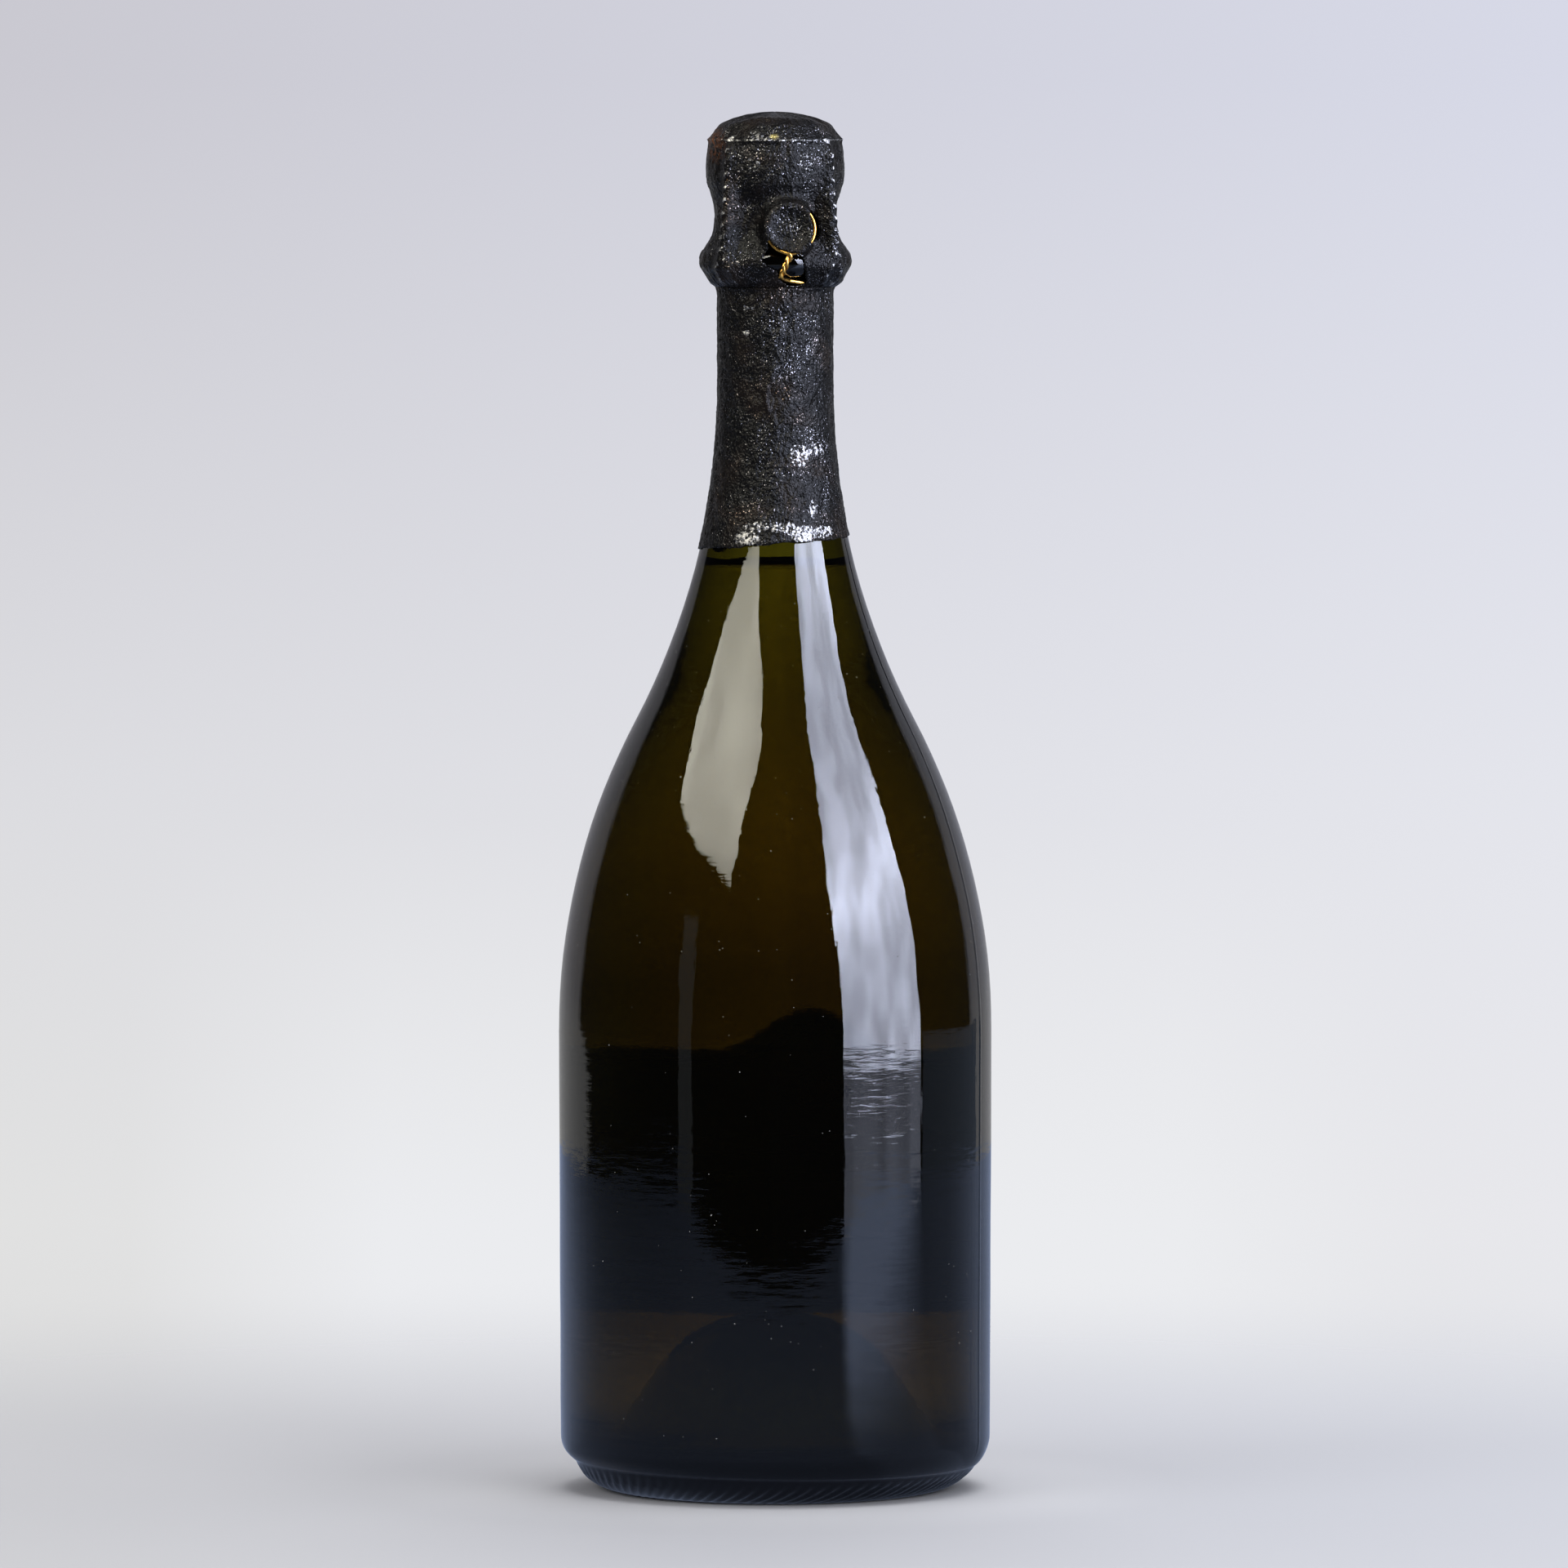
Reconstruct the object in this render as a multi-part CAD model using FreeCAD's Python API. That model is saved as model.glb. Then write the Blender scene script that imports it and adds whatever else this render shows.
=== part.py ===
import FreeCAD, Part
import math
import os

# Sealed 1.5 litre bottle of sparkling wine, millimetres, +Z up.
# The origin is the centre of the ring that the bottle stands on. The front is -Y, where the foil is
# torn open over the wire loop; the paper label is on the back, +Y.

V = FreeCAD.Vector
ORIGIN = V(0, 0, 0)
UP = V(0, 0, 1)

# ---- bottle, outside ----
BODY_DIAMETER = 118.8            # widest, where the shoulder starts
FOOT_DIAMETER = 118.0            # the body tapers a little towards the heel
BODY_HEIGHT = 126.0              # floor to the start of the shoulder
SHOULDER_RADIUS = 182.0          # convex arc of the shoulder
SHOULDER_LENGTH = 177.4          # body top to the straight neck, over both arcs
NECK_DIAMETER = 30.9
NECK_LENGTH = 25.1               # straight neck up to the finish
HEEL_RADIUS = 9.1
HEEL_HEIGHT = 14.5               # floor to the top of the heel
BASE_BAND_RADIUS = 12.2          # arc of the base plate below the mould seam
BASE_BAND_HEIGHT = 7.4           # floor to the mould seam
SEAM_HEIGHT = 0.1
BEARING_DIAMETER = 88.0          # outer edge of the ring that the bottle stands on
BEARING_WIDTH = 2.5

# ---- bottle, inside ----
WALL = 6.5
BASE_THICKNESS = 10.0            # glass over the punt
PUNT_DEPTH = 40.0
PUNT_TOP_RADIUS = 16.0
PUNT_EDGE_RADIUS = 5.0           # rounding between the punt and the standing ring
VALLEY_HEIGHT = 11.5             # lowest point of the cavity, round the punt
VALLEY_RADIUS = 11.0
WINE_DROP = 100.5                # sealing face down to the liquid's surface
WINE_CLEARANCE = 0.1

# ---- finish of the neck ----
COLLAR_DIAMETER = 40.7           # ring that the wire is tied under
COLLAR_RISE = 8.5                # top of the neck to the middle of the collar
COLLAR_HALF_HEIGHT = 2.1
COLLAR_CROWN = 0.7               # how far the collar's face bulges
LIP_DIAMETER = 31.4
LIP_RISE = 24.4                  # top of the neck to the sealing face
LIP_RADIUS = 1.5
MOUTH_DIAMETER = 17.8
MOUTH_LENGTH = 14.0
MOUTH_CHAMFER = 0.8

# ---- cork ----
CORK_CLEARANCE = 0.1
CORK_HEAD_DIAMETER = 36.9
CORK_HEAD_HEIGHT = 23.8          # sealing face to the top of the dome
CORK_SHANK_LENGTH = 26.0
CORK_FOOT_CHAMFER = 0.8

# ---- wire cage with its cap ----
WIRE_DIAMETER = 1.05
LEG_DIAMETER = 1.9               # two strands twisted together
STEM_DIAMETER = 2.1
LEG_TURNS = (-44.5, 54.0, 140.0, -134.0)    # degrees from the front, towards +X
TOP_RING_INSET = 1.45            # ring's centre line inside the cork head's radius
TOP_RING_RISE = 17.2             # sealing face to the ring
BELT_RISE = 3.1                  # top of the neck to the belt wire
BELT_STANDOFF = 1.45             # belt's centre line outside the neck's radius
EYE_DIAMETER = 14.2              # twisting loop, outside
EYE_OFFSET = 4.2                 # loop's centre towards +X
EYE_RISE = 9.1                   # collar's middle to the loop's centre
CAP_DIAMETER = 28.4
CAP_THICKNESS = 0.4
CAP_RIM = 0.9                    # turned-down edge of the cap
DOME_SAGITTA = 2.8               # bulge of the cork's and the cap's top
WIRE_CLEARANCE = 0.05

# ---- foil capsule ----
FOIL = 0.3
FOIL_CLEARANCE = 0.1
FOIL_SKIRT = 68.2                # top of the neck down to the torn lower edge, on the axis
FOIL_EDGE_TILT = 4.9             # degrees, lower on the -X side
FOLD_WIDTH = 2.4                 # inner width of the folds over the cage's legs
TEAR_LEFT = -3.4                 # opening torn over the stem
TEAR_RIGHT = 8.4
TEAR_LOW = -7.2                  # from the collar's middle
TEAR_HIGH = 4.2

# ---- paper label ----
LABEL_WIDTH = 110.0              # along the curve
LABEL_LOW = 45.0
LABEL_TROUGH = 116.0             # top edge beside the ogee
LABEL_PEAK = 126.0
LABEL_SIDE = 118.0               # top edge at the two ends
LABEL_TROUGH_OUT = 15.0          # half width of the ogee
LABEL_TURN = -5.1                # degrees about the axis, from the back
LABEL_THICKNESS = 0.2
LABEL_CLEARANCE = 0.1

# ---- worked out ----
body_r = BODY_DIAMETER / 2
foot_r = FOOT_DIAMETER / 2
neck_r = NECK_DIAMETER / 2
collar_r = COLLAR_DIAMETER / 2
lip_r = LIP_DIAMETER / 2
mouth_r = MOUTH_DIAMETER / 2
head_r = CORK_HEAD_DIAMETER / 2
cap_r = CAP_DIAMETER / 2
bearing_r = BEARING_DIAMETER / 2
wire_r = WIRE_DIAMETER / 2
leg_r = LEG_DIAMETER / 2

neck_low = BODY_HEIGHT + SHOULDER_LENGTH
neck_top = neck_low + NECK_LENGTH
collar_z = neck_top + COLLAR_RISE
lip_z = neck_top + LIP_RISE
head_top = lip_z + CORK_HEAD_HEIGHT
belt_r = neck_r + BELT_STANDOFF
belt_z = neck_top + BELT_RISE
ring_r = head_r - TOP_RING_INSET
ring_z = lip_z + TOP_RING_RISE

# The neck's hollow arc touches the shoulder's round arc and ends upright at the straight neck.
narrowing = body_r - neck_r
hollow_radius = (narrowing ** 2 - 2 * SHOULDER_RADIUS * narrowing + SHOULDER_LENGTH ** 2) / (2 * narrowing)
shoulder_centre = (body_r - SHOULDER_RADIUS, BODY_HEIGHT)
hollow_centre = (neck_r + hollow_radius, neck_low)
turn = math.degrees(math.atan2(hollow_centre[1] - shoulder_centre[1],
                               hollow_centre[0] - shoulder_centre[0]))


# ---- outlines in the r-z plane ----
def point(r, z):
    return V(r, 0, z)


def polar(centre, radius, degrees):
    angle = math.radians(degrees)
    return (centre[0] + radius * math.cos(angle), centre[1] + radius * math.sin(angle))


def line(start, end):
    return Part.makeLine(point(*start), point(*end))


def lines(places):
    return [line(a, b) for a, b in zip(places, places[1:])]


def arc(centre, radius, first, last):
    ends = [polar(centre, radius, degrees) for degrees in (first, (first + last) / 2, last)]
    return Part.Arc(*[point(*end) for end in ends]).toShape()


def arc_through(start, middle, end):
    return Part.Arc(point(*start), point(*middle), point(*end)).toShape()


def spin(edges):
    """A solid of revolution from a closed outline."""
    face = Part.Face(Part.Wire(Part.__sortEdges__(edges)))
    solid = face.revolve(ORIGIN, UP, 360)
    return Part.Solid(solid) if solid.ShapeType == "Shell" else solid


def dome(radius, top, sagitta):
    """Arc from the rim of a round top to its middle on the axis."""
    sphere = (radius ** 2 + sagitta ** 2) / (2 * sagitta)
    half = radius / 2
    halfway = top - sphere + math.sqrt(sphere ** 2 - half ** 2)
    return arc_through((radius, top - sagitta), (half, halfway), (0, top))


def offset_path(places, distance):
    """The polyline moved by a distance to its left, corners mitred."""
    normals = []
    for (r1, z1), (r2, z2) in zip(places, places[1:]):
        length = math.hypot(r2 - r1, z2 - z1)
        normals.append(((z1 - z2) / length, (r2 - r1) / length))
    moved = []
    for index, (r, z) in enumerate(places):
        before = normals[max(index - 1, 0)]
        after = normals[min(index, len(normals) - 1)]
        share = distance / (1 + before[0] * after[0] + before[1] * after[1])
        moved.append((r + share * (before[0] + after[0]), z + share * (before[1] + after[1])))
    return moved


def neck_arcs(depth):
    """Shoulder and neck arcs, a depth inside the glass (negative: outside it), going up."""
    return [
        arc(shoulder_centre, SHOULDER_RADIUS - depth, 0, turn),
        arc(hollow_centre, hollow_radius + depth, 180 + turn, 180),
    ]


def crossing_tangent(first, first_radius, second, second_radius):
    """Normal angle of the straight line that passes between two circles and touches both."""
    across = math.hypot(second[0] - first[0], second[1] - first[1])
    heading = math.degrees(math.atan2(second[1] - first[1], second[0] - first[0]))
    return heading + math.degrees(math.acos((first_radius + second_radius) / across))


# ---- glass bottle ----
def base_outline():
    """Underside from the axis to the top of the heel."""
    crown = (0, PUNT_DEPTH - PUNT_TOP_RADIUS)
    edge = (bearing_r - BEARING_WIDTH, PUNT_EDGE_RADIUS)
    normal = crossing_tangent(crown, PUNT_TOP_RADIUS, edge, PUNT_EDGE_RADIUS)
    band = (bearing_r, BASE_BAND_RADIUS)
    band_end = math.degrees(math.asin((BASE_BAND_HEIGHT - BASE_BAND_RADIUS) / BASE_BAND_RADIUS))
    heel = (foot_r - HEEL_RADIUS, HEEL_HEIGHT)
    heel_start = math.degrees(math.asin((BASE_BAND_HEIGHT + SEAM_HEIGHT - HEEL_HEIGHT) / HEEL_RADIUS))
    return [
        arc(crown, PUNT_TOP_RADIUS, 90, normal),
        line(polar(crown, PUNT_TOP_RADIUS, normal), polar(edge, PUNT_EDGE_RADIUS, normal + 180)),
        arc(edge, PUNT_EDGE_RADIUS, normal + 180, 270),
        line((edge[0], 0), (bearing_r, 0)),
        arc(band, BASE_BAND_RADIUS, -90, band_end),
        line(polar(band, BASE_BAND_RADIUS, band_end), polar(heel, HEEL_RADIUS, heel_start)),
        arc(heel, HEEL_RADIUS, heel_start, 0),
    ]


def cavity_outline(gap):
    """Inside of the glass from the axis to the top of the neck's bore, shrunk by a gap."""
    crown = (0, PUNT_DEPTH - PUNT_TOP_RADIUS)
    crown_radius = PUNT_TOP_RADIUS + BASE_THICKNESS + gap
    valley = (foot_r - WALL - VALLEY_RADIUS, VALLEY_HEIGHT + VALLEY_RADIUS)
    valley_radius = VALLEY_RADIUS - gap
    normal = crossing_tangent(crown, crown_radius, valley, valley_radius)
    depth = WALL + gap
    return [
        arc(crown, crown_radius, 90, normal),
        line(polar(crown, crown_radius, normal), polar(valley, valley_radius, normal + 180)),
        arc(valley, valley_radius, normal + 180, 360),
        line((foot_r - depth, valley[1]), (body_r - depth, BODY_HEIGHT)),
        *neck_arcs(depth),
        line((neck_r - depth, neck_low), (neck_r - depth, neck_top)),
    ]


def finish_outline():
    """Neck finish from the top of the neck, over the collar and the lip, and down the bore."""
    under = (collar_r - COLLAR_CROWN, collar_z - COLLAR_HALF_HEIGHT)
    over = (collar_r - COLLAR_CROWN, collar_z + COLLAR_HALF_HEIGHT)
    below = [
        (neck_r, neck_top),
        (neck_r + 0.15, belt_z - 0.8),
        (belt_r - 0.7, belt_z + 0.4),
        (belt_r + 0.3, belt_z + 1.3),
        under,
    ]
    above = [
        over,
        (lip_r + 1.6, over[1] + 3.1),
        (lip_r + 0.4, over[1] + 5.8),
        (lip_r, lip_z - LIP_RADIUS),
    ]
    corner = (lip_r - LIP_RADIUS, lip_z - LIP_RADIUS)
    mouth = [
        (lip_r - LIP_RADIUS, lip_z),
        (mouth_r + MOUTH_CHAMFER, lip_z),
        (mouth_r, lip_z - MOUTH_CHAMFER),
        (mouth_r, lip_z - MOUTH_LENGTH),
        (neck_r - WALL, neck_top),
    ]
    return [
        *lines(below),
        arc_through(under, (collar_r, collar_z), over),
        *lines(above),
        arc(corner, LIP_RADIUS, 0, 90),
        *lines(mouth),
    ]


def glass_bottle():
    axis = line((0, PUNT_DEPTH), (0, PUNT_DEPTH + BASE_THICKNESS))
    return spin([
        axis,
        *base_outline(),
        line((foot_r, HEEL_HEIGHT), (body_r, BODY_HEIGHT)),
        *neck_arcs(0),
        line((neck_r, neck_low), (neck_r, neck_top)),
        *finish_outline(),
        *cavity_outline(0),
    ])


def wine():
    """The cavity, a clearance inside the glass, up to the level of the liquid."""
    bore_r = neck_r - WALL - WINE_CLEARANCE
    low = PUNT_DEPTH + BASE_THICKNESS + WINE_CLEARANCE
    cavity = spin([
        *cavity_outline(WINE_CLEARANCE),
        *lines([(bore_r, neck_top), (0, neck_top), (0, low)]),
    ])
    return cavity.common(Part.makeCylinder(body_r, lip_z - WINE_DROP))


# ---- cork ----
def cork():
    shank_r = mouth_r - CORK_CLEARANCE
    foot_z = lip_z - CORK_SHANK_LENGTH
    seat = lip_z + CORK_CLEARANCE
    head = [
        (head_r - 2.55, seat),
        (head_r - 1.55, lip_z + 2.4),
        (head_r - 0.25, lip_z + 5.4),
        (head_r, lip_z + 9.0),
        (head_r - 0.15, lip_z + 12.0),
        (head_r - 1.25, ring_z - 2.5),
        (head_r - 2.85, ring_z - 0.3),
        (cap_r + 0.2, head_top - DOME_SAGITTA - CAP_RIM - 0.4),
        (cap_r - CAP_THICKNESS - CORK_CLEARANCE, head_top - DOME_SAGITTA - CAP_RIM - 0.4),
    ]
    swell_r = neck_r - WALL - CORK_CLEARANCE
    stem = [
        (0, foot_z),
        (swell_r - CORK_FOOT_CHAMFER, foot_z),
        (swell_r, foot_z + CORK_FOOT_CHAMFER),
        (swell_r, neck_top),
        (shank_r, lip_z - MOUTH_LENGTH),
        (shank_r, seat),
        head[0],
    ]
    dome_r = head[-1][0]
    return spin([
        *lines(stem),
        *lines(head),
        line(head[-1], (dome_r, head_top - DOME_SAGITTA)),
        dome(dome_r, head_top, DOME_SAGITTA),
        line((0, head_top), (0, foot_z)),
    ])


# ---- wire cage ----
def turned(shape, degrees):
    """Turn a shape made at the front round the axis, towards +X."""
    shape.rotate(ORIGIN, UP, degrees)
    return shape


def front(r, z, x=0.0):
    return V(x, -r, z)


def rod(start, end, radius):
    along = end - start
    return Part.makeCylinder(radius, along.Length, start, along)


def rods(places, radius):
    """Straight rods with a ball in each bend and at the far end."""
    pieces = [rod(a, b, radius) for a, b in zip(places, places[1:])]
    pieces += [Part.makeSphere(radius, place) for place in places[1:]]
    return pieces[0].multiFuse(pieces[1:]).removeSplitter()


def leg_path():
    """Centre line of a leg, from the top ring down to the belt."""
    head = head_r + leg_r + WIRE_CLEARANCE
    collar = collar_r + leg_r + WIRE_CLEARANCE
    return [
        (ring_r, ring_z),
        (head, lip_z + 13.1),
        (head, lip_z + 6.6),
        (collar, collar_z + 1.6),
        (collar, collar_z - 1.4),
        (belt_r + wire_r + leg_r + WIRE_CLEARANCE, belt_z - 0.3),
    ]


def muselet_frame():
    ring = Part.makeTorus(ring_r, wire_r, V(0, 0, ring_z), UP)
    legs = []
    for degrees in LEG_TURNS:
        leg = rods([front(r, z) for r, z in leg_path()], leg_r)
        legs.append(turned(leg, degrees))
    return ring.multiFuse(legs)


def muselet_belt():
    """Belt wire under the collar, with the twisted stem and the loop that tightens it."""
    belt = Part.makeTorus(belt_r, wire_r, V(0, 0, belt_z), UP)
    stem_r = STEM_DIAMETER / 2
    outer = collar_r + stem_r + WIRE_CLEARANCE
    eye_y = collar_r + WIRE_CLEARANCE + wire_r
    eye_r = EYE_DIAMETER / 2 - wire_r
    eye_z = collar_z + EYE_RISE
    stem = rods([
        front(belt_r + 0.4, belt_z - 0.6, 0.4 * EYE_OFFSET),
        front(outer, collar_z - 2.0, 0.6 * EYE_OFFSET),
        front(outer, collar_z + 1.0, 0.85 * EYE_OFFSET),
        front(eye_y, eye_z - eye_r, EYE_OFFSET),
    ], stem_r)
    eye = Part.makeTorus(eye_r, wire_r, front(eye_y, eye_z, EYE_OFFSET), V(0, 1, 0))
    return belt.multiFuse([stem, eye])


def muselet_cap():
    """Domed metal plate on the cork, with its edge turned down."""
    top = head_top + CORK_CLEARANCE + CAP_THICKNESS
    low = top - CAP_THICKNESS
    rim_z = low - DOME_SAGITTA - CAP_RIM
    inner = cap_r - CAP_THICKNESS
    return spin([
        dome(cap_r, top, DOME_SAGITTA),
        line((0, top), (0, low)),
        dome(inner, low, DOME_SAGITTA),
        *lines([(inner, low - DOME_SAGITTA), (inner, rim_z), (cap_r, rim_z), (cap_r, top - DOME_SAGITTA)]),
    ])


# ---- foil capsule ----
def foil_places():
    """Outer corners of the foil from the neck's top to the rim of its dome."""
    rim_z = head_top + CORK_CLEARANCE + CAP_THICKNESS - DOME_SAGITTA
    return [
        (neck_r + 0.5, neck_top + 0.6),
        (belt_r + 0.1, belt_z - 1.3),
        (belt_r + 1.5, belt_z - 0.1),
        (belt_r + 1.95, belt_z + 1.4),
        (collar_r - 0.15, collar_z - 2.0),
        (collar_r + 0.42, collar_z - 0.9),
        (collar_r + 0.42, collar_z + 1.1),
        (collar_r - 0.15, collar_z + 2.3),
        (lip_r + 2.25, collar_z + 5.3),
        (lip_r + 1.05, collar_z + 8.0),
        (lip_r + 0.75, lip_z - 3.9),
        (head_r - 1.95, lip_z - 0.9),
        (head_r - 0.95, lip_z + 2.4),
        (head_r + 0.2, lip_z + 5.5),
        (head_r + 0.4, lip_z + 9.0),
        (head_r + 0.3, lip_z + 12.1),
        (head_r - 0.15, ring_z - 1.5),
        (head_r - 0.45, ring_z + 0.5),
        (head_r - 2.25, ring_z + 2.9),
        (cap_r + 0.7, rim_z + 0.3),
    ]


def foil_envelope(depth):
    """Everything inside the foil's surface, a depth under it."""
    skin = FOIL + FOIL_CLEARANCE - depth
    corners = offset_path(foil_places(), depth)
    top = head_top + CORK_CLEARANCE + CAP_THICKNESS + skin
    rim = corners[-1]
    low_arc = neck_arcs(-skin)[1]
    low = low_arc.Vertexes[0].Point
    return spin([
        line((0, low.z), (low.x, low.z)),
        low_arc,
        *lines([(neck_r + skin, neck_low), (neck_r + skin, neck_top), *corners]),
        dome(rim[0], top, top - rim[1]),
        line((0, top), (0, low.z)),
    ])


def fold(skin):
    """Solid under the fold over one leg, a skin thicker than the room that the leg needs."""
    path = leg_path()
    (r1, z1), (r2, z2) = path[-2:]
    reach = (leg_r + 0.15) / math.hypot(r2 - r1, z2 - z1)
    path[-1] = (r2 + reach * (r2 - r1), z2 + reach * (z2 - z1))
    outer = offset_path(path, leg_r + FOIL_CLEARANCE + skin)
    places = [(10, outer[0][1]), *outer, (10, outer[-1][1])]
    half = FOLD_WIDTH / 2 + skin
    corners = [V(-half, -r, z) for r, z in places + places[:1]]
    return Part.Face(Part.makePolygon(corners)).extrude(V(2 * half, 0, 0))


def loop_cover(skin):
    """Solid under the foil pressed over the twisting loop."""
    eye_y = collar_r + WIRE_CLEARANCE + 2 * wire_r + FOIL_CLEARANCE + skin
    radius = EYE_DIAMETER / 2 + 0.15 + skin
    centre = V(EYE_OFFSET, -8, collar_z + EYE_RISE)
    return Part.makeCylinder(radius, eye_y - 8, centre, V(0, -1, 0))


def foil_capsule():
    outside = [turned(fold(FOIL), degrees) for degrees in LEG_TURNS] + [loop_cover(FOIL)]
    inside = [turned(fold(0), degrees) for degrees in LEG_TURNS] + [loop_cover(0)]
    skin = foil_envelope(0).multiFuse(outside)
    skin = skin.cut(foil_envelope(FOIL))
    for room in inside:
        skin = skin.cut(room)
    tear = Part.makeBox(TEAR_RIGHT - TEAR_LEFT, 30, TEAR_HIGH - TEAR_LOW,
                        V(TEAR_LEFT, -42, collar_z + TEAR_LOW))
    below = Part.makeCylinder(4 * body_r, 200, V(0, 0, -200))
    below.rotate(ORIGIN, V(0, -1, 0), FOIL_EDGE_TILT)
    below.translate(V(0, 0, neck_top - FOIL_SKIRT))
    skin = skin.cut(tear).cut(below)
    return max(skin.Solids, key=lambda solid: solid.Volume)


# ---- label ----
def label():
    """Paper on the back of the body, its top edge raised to an ogee in the middle."""
    inner = LABEL_CLEARANCE
    outer = LABEL_CLEARANCE + LABEL_THICKNESS
    slope = (body_r - foot_r) / (BODY_HEIGHT - HEEL_HEIGHT)

    def wall(z):
        return foot_r + slope * (z - HEEL_HEIGHT)

    high = LABEL_PEAK + 1
    corners = [
        (wall(LABEL_LOW) + inner, LABEL_LOW),
        (wall(LABEL_LOW) + outer, LABEL_LOW),
        (wall(high) + outer, high),
        (wall(high) + inner, high),
    ]
    sheet = Part.Face(Part.Wire(lines(corners + corners[:1])))
    half_turn = math.degrees(LABEL_WIDTH / 2 / body_r)
    sheet.rotate(ORIGIN, UP, 90 - half_turn)
    band = sheet.revolve(ORIGIN, UP, 2 * half_turn)

    def edge(out, z):
        return V(body_r * math.sin(out / body_r), 0, z)

    half = LABEL_WIDTH / 2
    rise = LABEL_PEAK - LABEL_TROUGH
    outline = []
    for side in (-1, 1):
        outline += [
            Part.makeLine(edge(side * half, LABEL_SIDE), edge(side * LABEL_TROUGH_OUT, LABEL_TROUGH)),
            Part.Arc(edge(side * LABEL_TROUGH_OUT, LABEL_TROUGH),
                     edge(side * 0.68 * LABEL_TROUGH_OUT, LABEL_TROUGH + 0.16 * rise),
                     edge(side * 0.42 * LABEL_TROUGH_OUT, LABEL_TROUGH + 0.52 * rise)).toShape(),
            Part.Arc(edge(side * 0.42 * LABEL_TROUGH_OUT, LABEL_TROUGH + 0.52 * rise),
                     edge(side * 0.25 * LABEL_TROUGH_OUT, LABEL_TROUGH + 0.84 * rise),
                     edge(0, LABEL_PEAK)).toShape(),
            Part.makeLine(edge(side * half, LABEL_SIDE), V(side * 2 * body_r, 0, LABEL_SIDE)),
            Part.makeLine(V(side * 2 * body_r, 0, LABEL_SIDE), V(side * 2 * body_r, 0, high + 9)),
        ]
    outline.append(Part.makeLine(V(-2 * body_r, 0, high + 9), V(2 * body_r, 0, high + 9)))
    trimming = Part.Face(Part.Wire(Part.__sortEdges__(outline))).extrude(V(0, 2 * body_r, 0))
    return turned(band.cut(trimming), LABEL_TURN)


NODES = {
    "glass_bottle": glass_bottle,
    "wine": wine,
    "cork": cork,
    "muselet_cap": muselet_cap,
    "muselet_frame": muselet_frame,
    "muselet_belt": muselet_belt,
    "foil_capsule": foil_capsule,
    "label": label,
}

os.makedirs("parts", exist_ok=True)
for name, make in NODES.items():
    shape = make()
    if shape.ShapeType != "Solid" and len(shape.Solids) == 1:
        shape = shape.Solids[0]
    shape.exportStep(os.path.join("parts", name + ".step"))
    box = shape.optimalBoundingBox(False)
    print(f"{name}: solids {len(shape.Solids)}, valid {shape.isValid()}, {shape.Volume / 1000:.1f} cm3, "
          f"x {box.XMin:.1f}..{box.XMax:.1f}, y {box.YMin:.1f}..{box.YMax:.1f}, "
          f"z {box.ZMin:.1f}..{box.ZMax:.1f}")
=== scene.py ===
import math

import bpy
import numpy as np
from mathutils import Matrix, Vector


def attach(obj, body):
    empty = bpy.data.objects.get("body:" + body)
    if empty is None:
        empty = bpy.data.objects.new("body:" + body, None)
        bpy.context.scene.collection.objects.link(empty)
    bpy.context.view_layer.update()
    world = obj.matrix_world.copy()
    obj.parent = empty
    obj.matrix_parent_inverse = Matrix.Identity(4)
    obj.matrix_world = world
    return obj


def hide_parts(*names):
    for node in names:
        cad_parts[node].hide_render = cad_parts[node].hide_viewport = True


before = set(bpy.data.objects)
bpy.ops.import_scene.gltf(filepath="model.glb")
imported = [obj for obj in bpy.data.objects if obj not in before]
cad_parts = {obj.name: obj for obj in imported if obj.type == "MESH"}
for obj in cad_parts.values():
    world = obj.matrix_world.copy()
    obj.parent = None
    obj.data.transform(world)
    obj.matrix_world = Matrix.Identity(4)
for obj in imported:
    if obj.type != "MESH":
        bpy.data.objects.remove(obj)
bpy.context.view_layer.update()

# A sealed bottle of sparkling wine, with its label on the far side. Lengths are in millimetres until a mesh is
# made, and in metres for lamps, the camera and what the stage's nodes read.
# A turn is an angle about the bottle's axis in radians, from the front (-Y) towards +X.
MM = 0.001
TAU = 2 * math.pi


# ---- shapes ----
def smooth(low, high, value):
    """0 below low, 1 above high, easing between."""
    share = np.clip((value - low) / (high - low), 0, 1)
    return share * share * (3 - 2 * share)


def wrap(angle):
    return (angle + math.pi) % TAU - math.pi


def waves(seed, turn, height, around, lengths, count=14):
    """Smooth noise, mostly within -1..1, that closes round the axis."""
    rng = np.random.default_rng(seed)
    total = 0
    for _ in range(count):
        beat = rng.integers(around[0], around[1] + 1)
        step = TAU / rng.uniform(*lengths) * rng.choice((-1, 1))
        total = total + np.cos(beat * turn + step * height + rng.uniform(0, TAU))
    return total / math.sqrt(2 * count)


def sweep(centre, radius, first, last, count):
    """Points along an arc in the r-z plane, degrees."""
    angles = np.radians(np.linspace(first, last, count))
    return np.column_stack([centre[0] + radius * np.cos(angles), centre[1] + radius * np.sin(angles)])


def straight(start, end, count):
    share = np.linspace(0, 1, count)[:, None]
    return np.array(start) * (1 - share) + np.array(end) * share


def chain(*parts):
    """Outlines one after the other, without doubled points."""
    points = np.vstack([np.atleast_2d(part) for part in parts])
    keep = np.ones(len(points), bool)
    keep[1:] = np.hypot(*np.diff(points, axis=0).T) > 1e-4
    return points[keep]


def resample(points, spacing):
    """The same outline with even steps."""
    lengths = np.concatenate([[0], np.cumsum(np.hypot(*np.diff(points, axis=0).T))])
    places = np.linspace(0, lengths[-1], max(2, int(round(lengths[-1] / spacing)) + 1))
    return np.column_stack([np.interp(places, lengths, points[:, k]) for k in (0, 1)])


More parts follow.
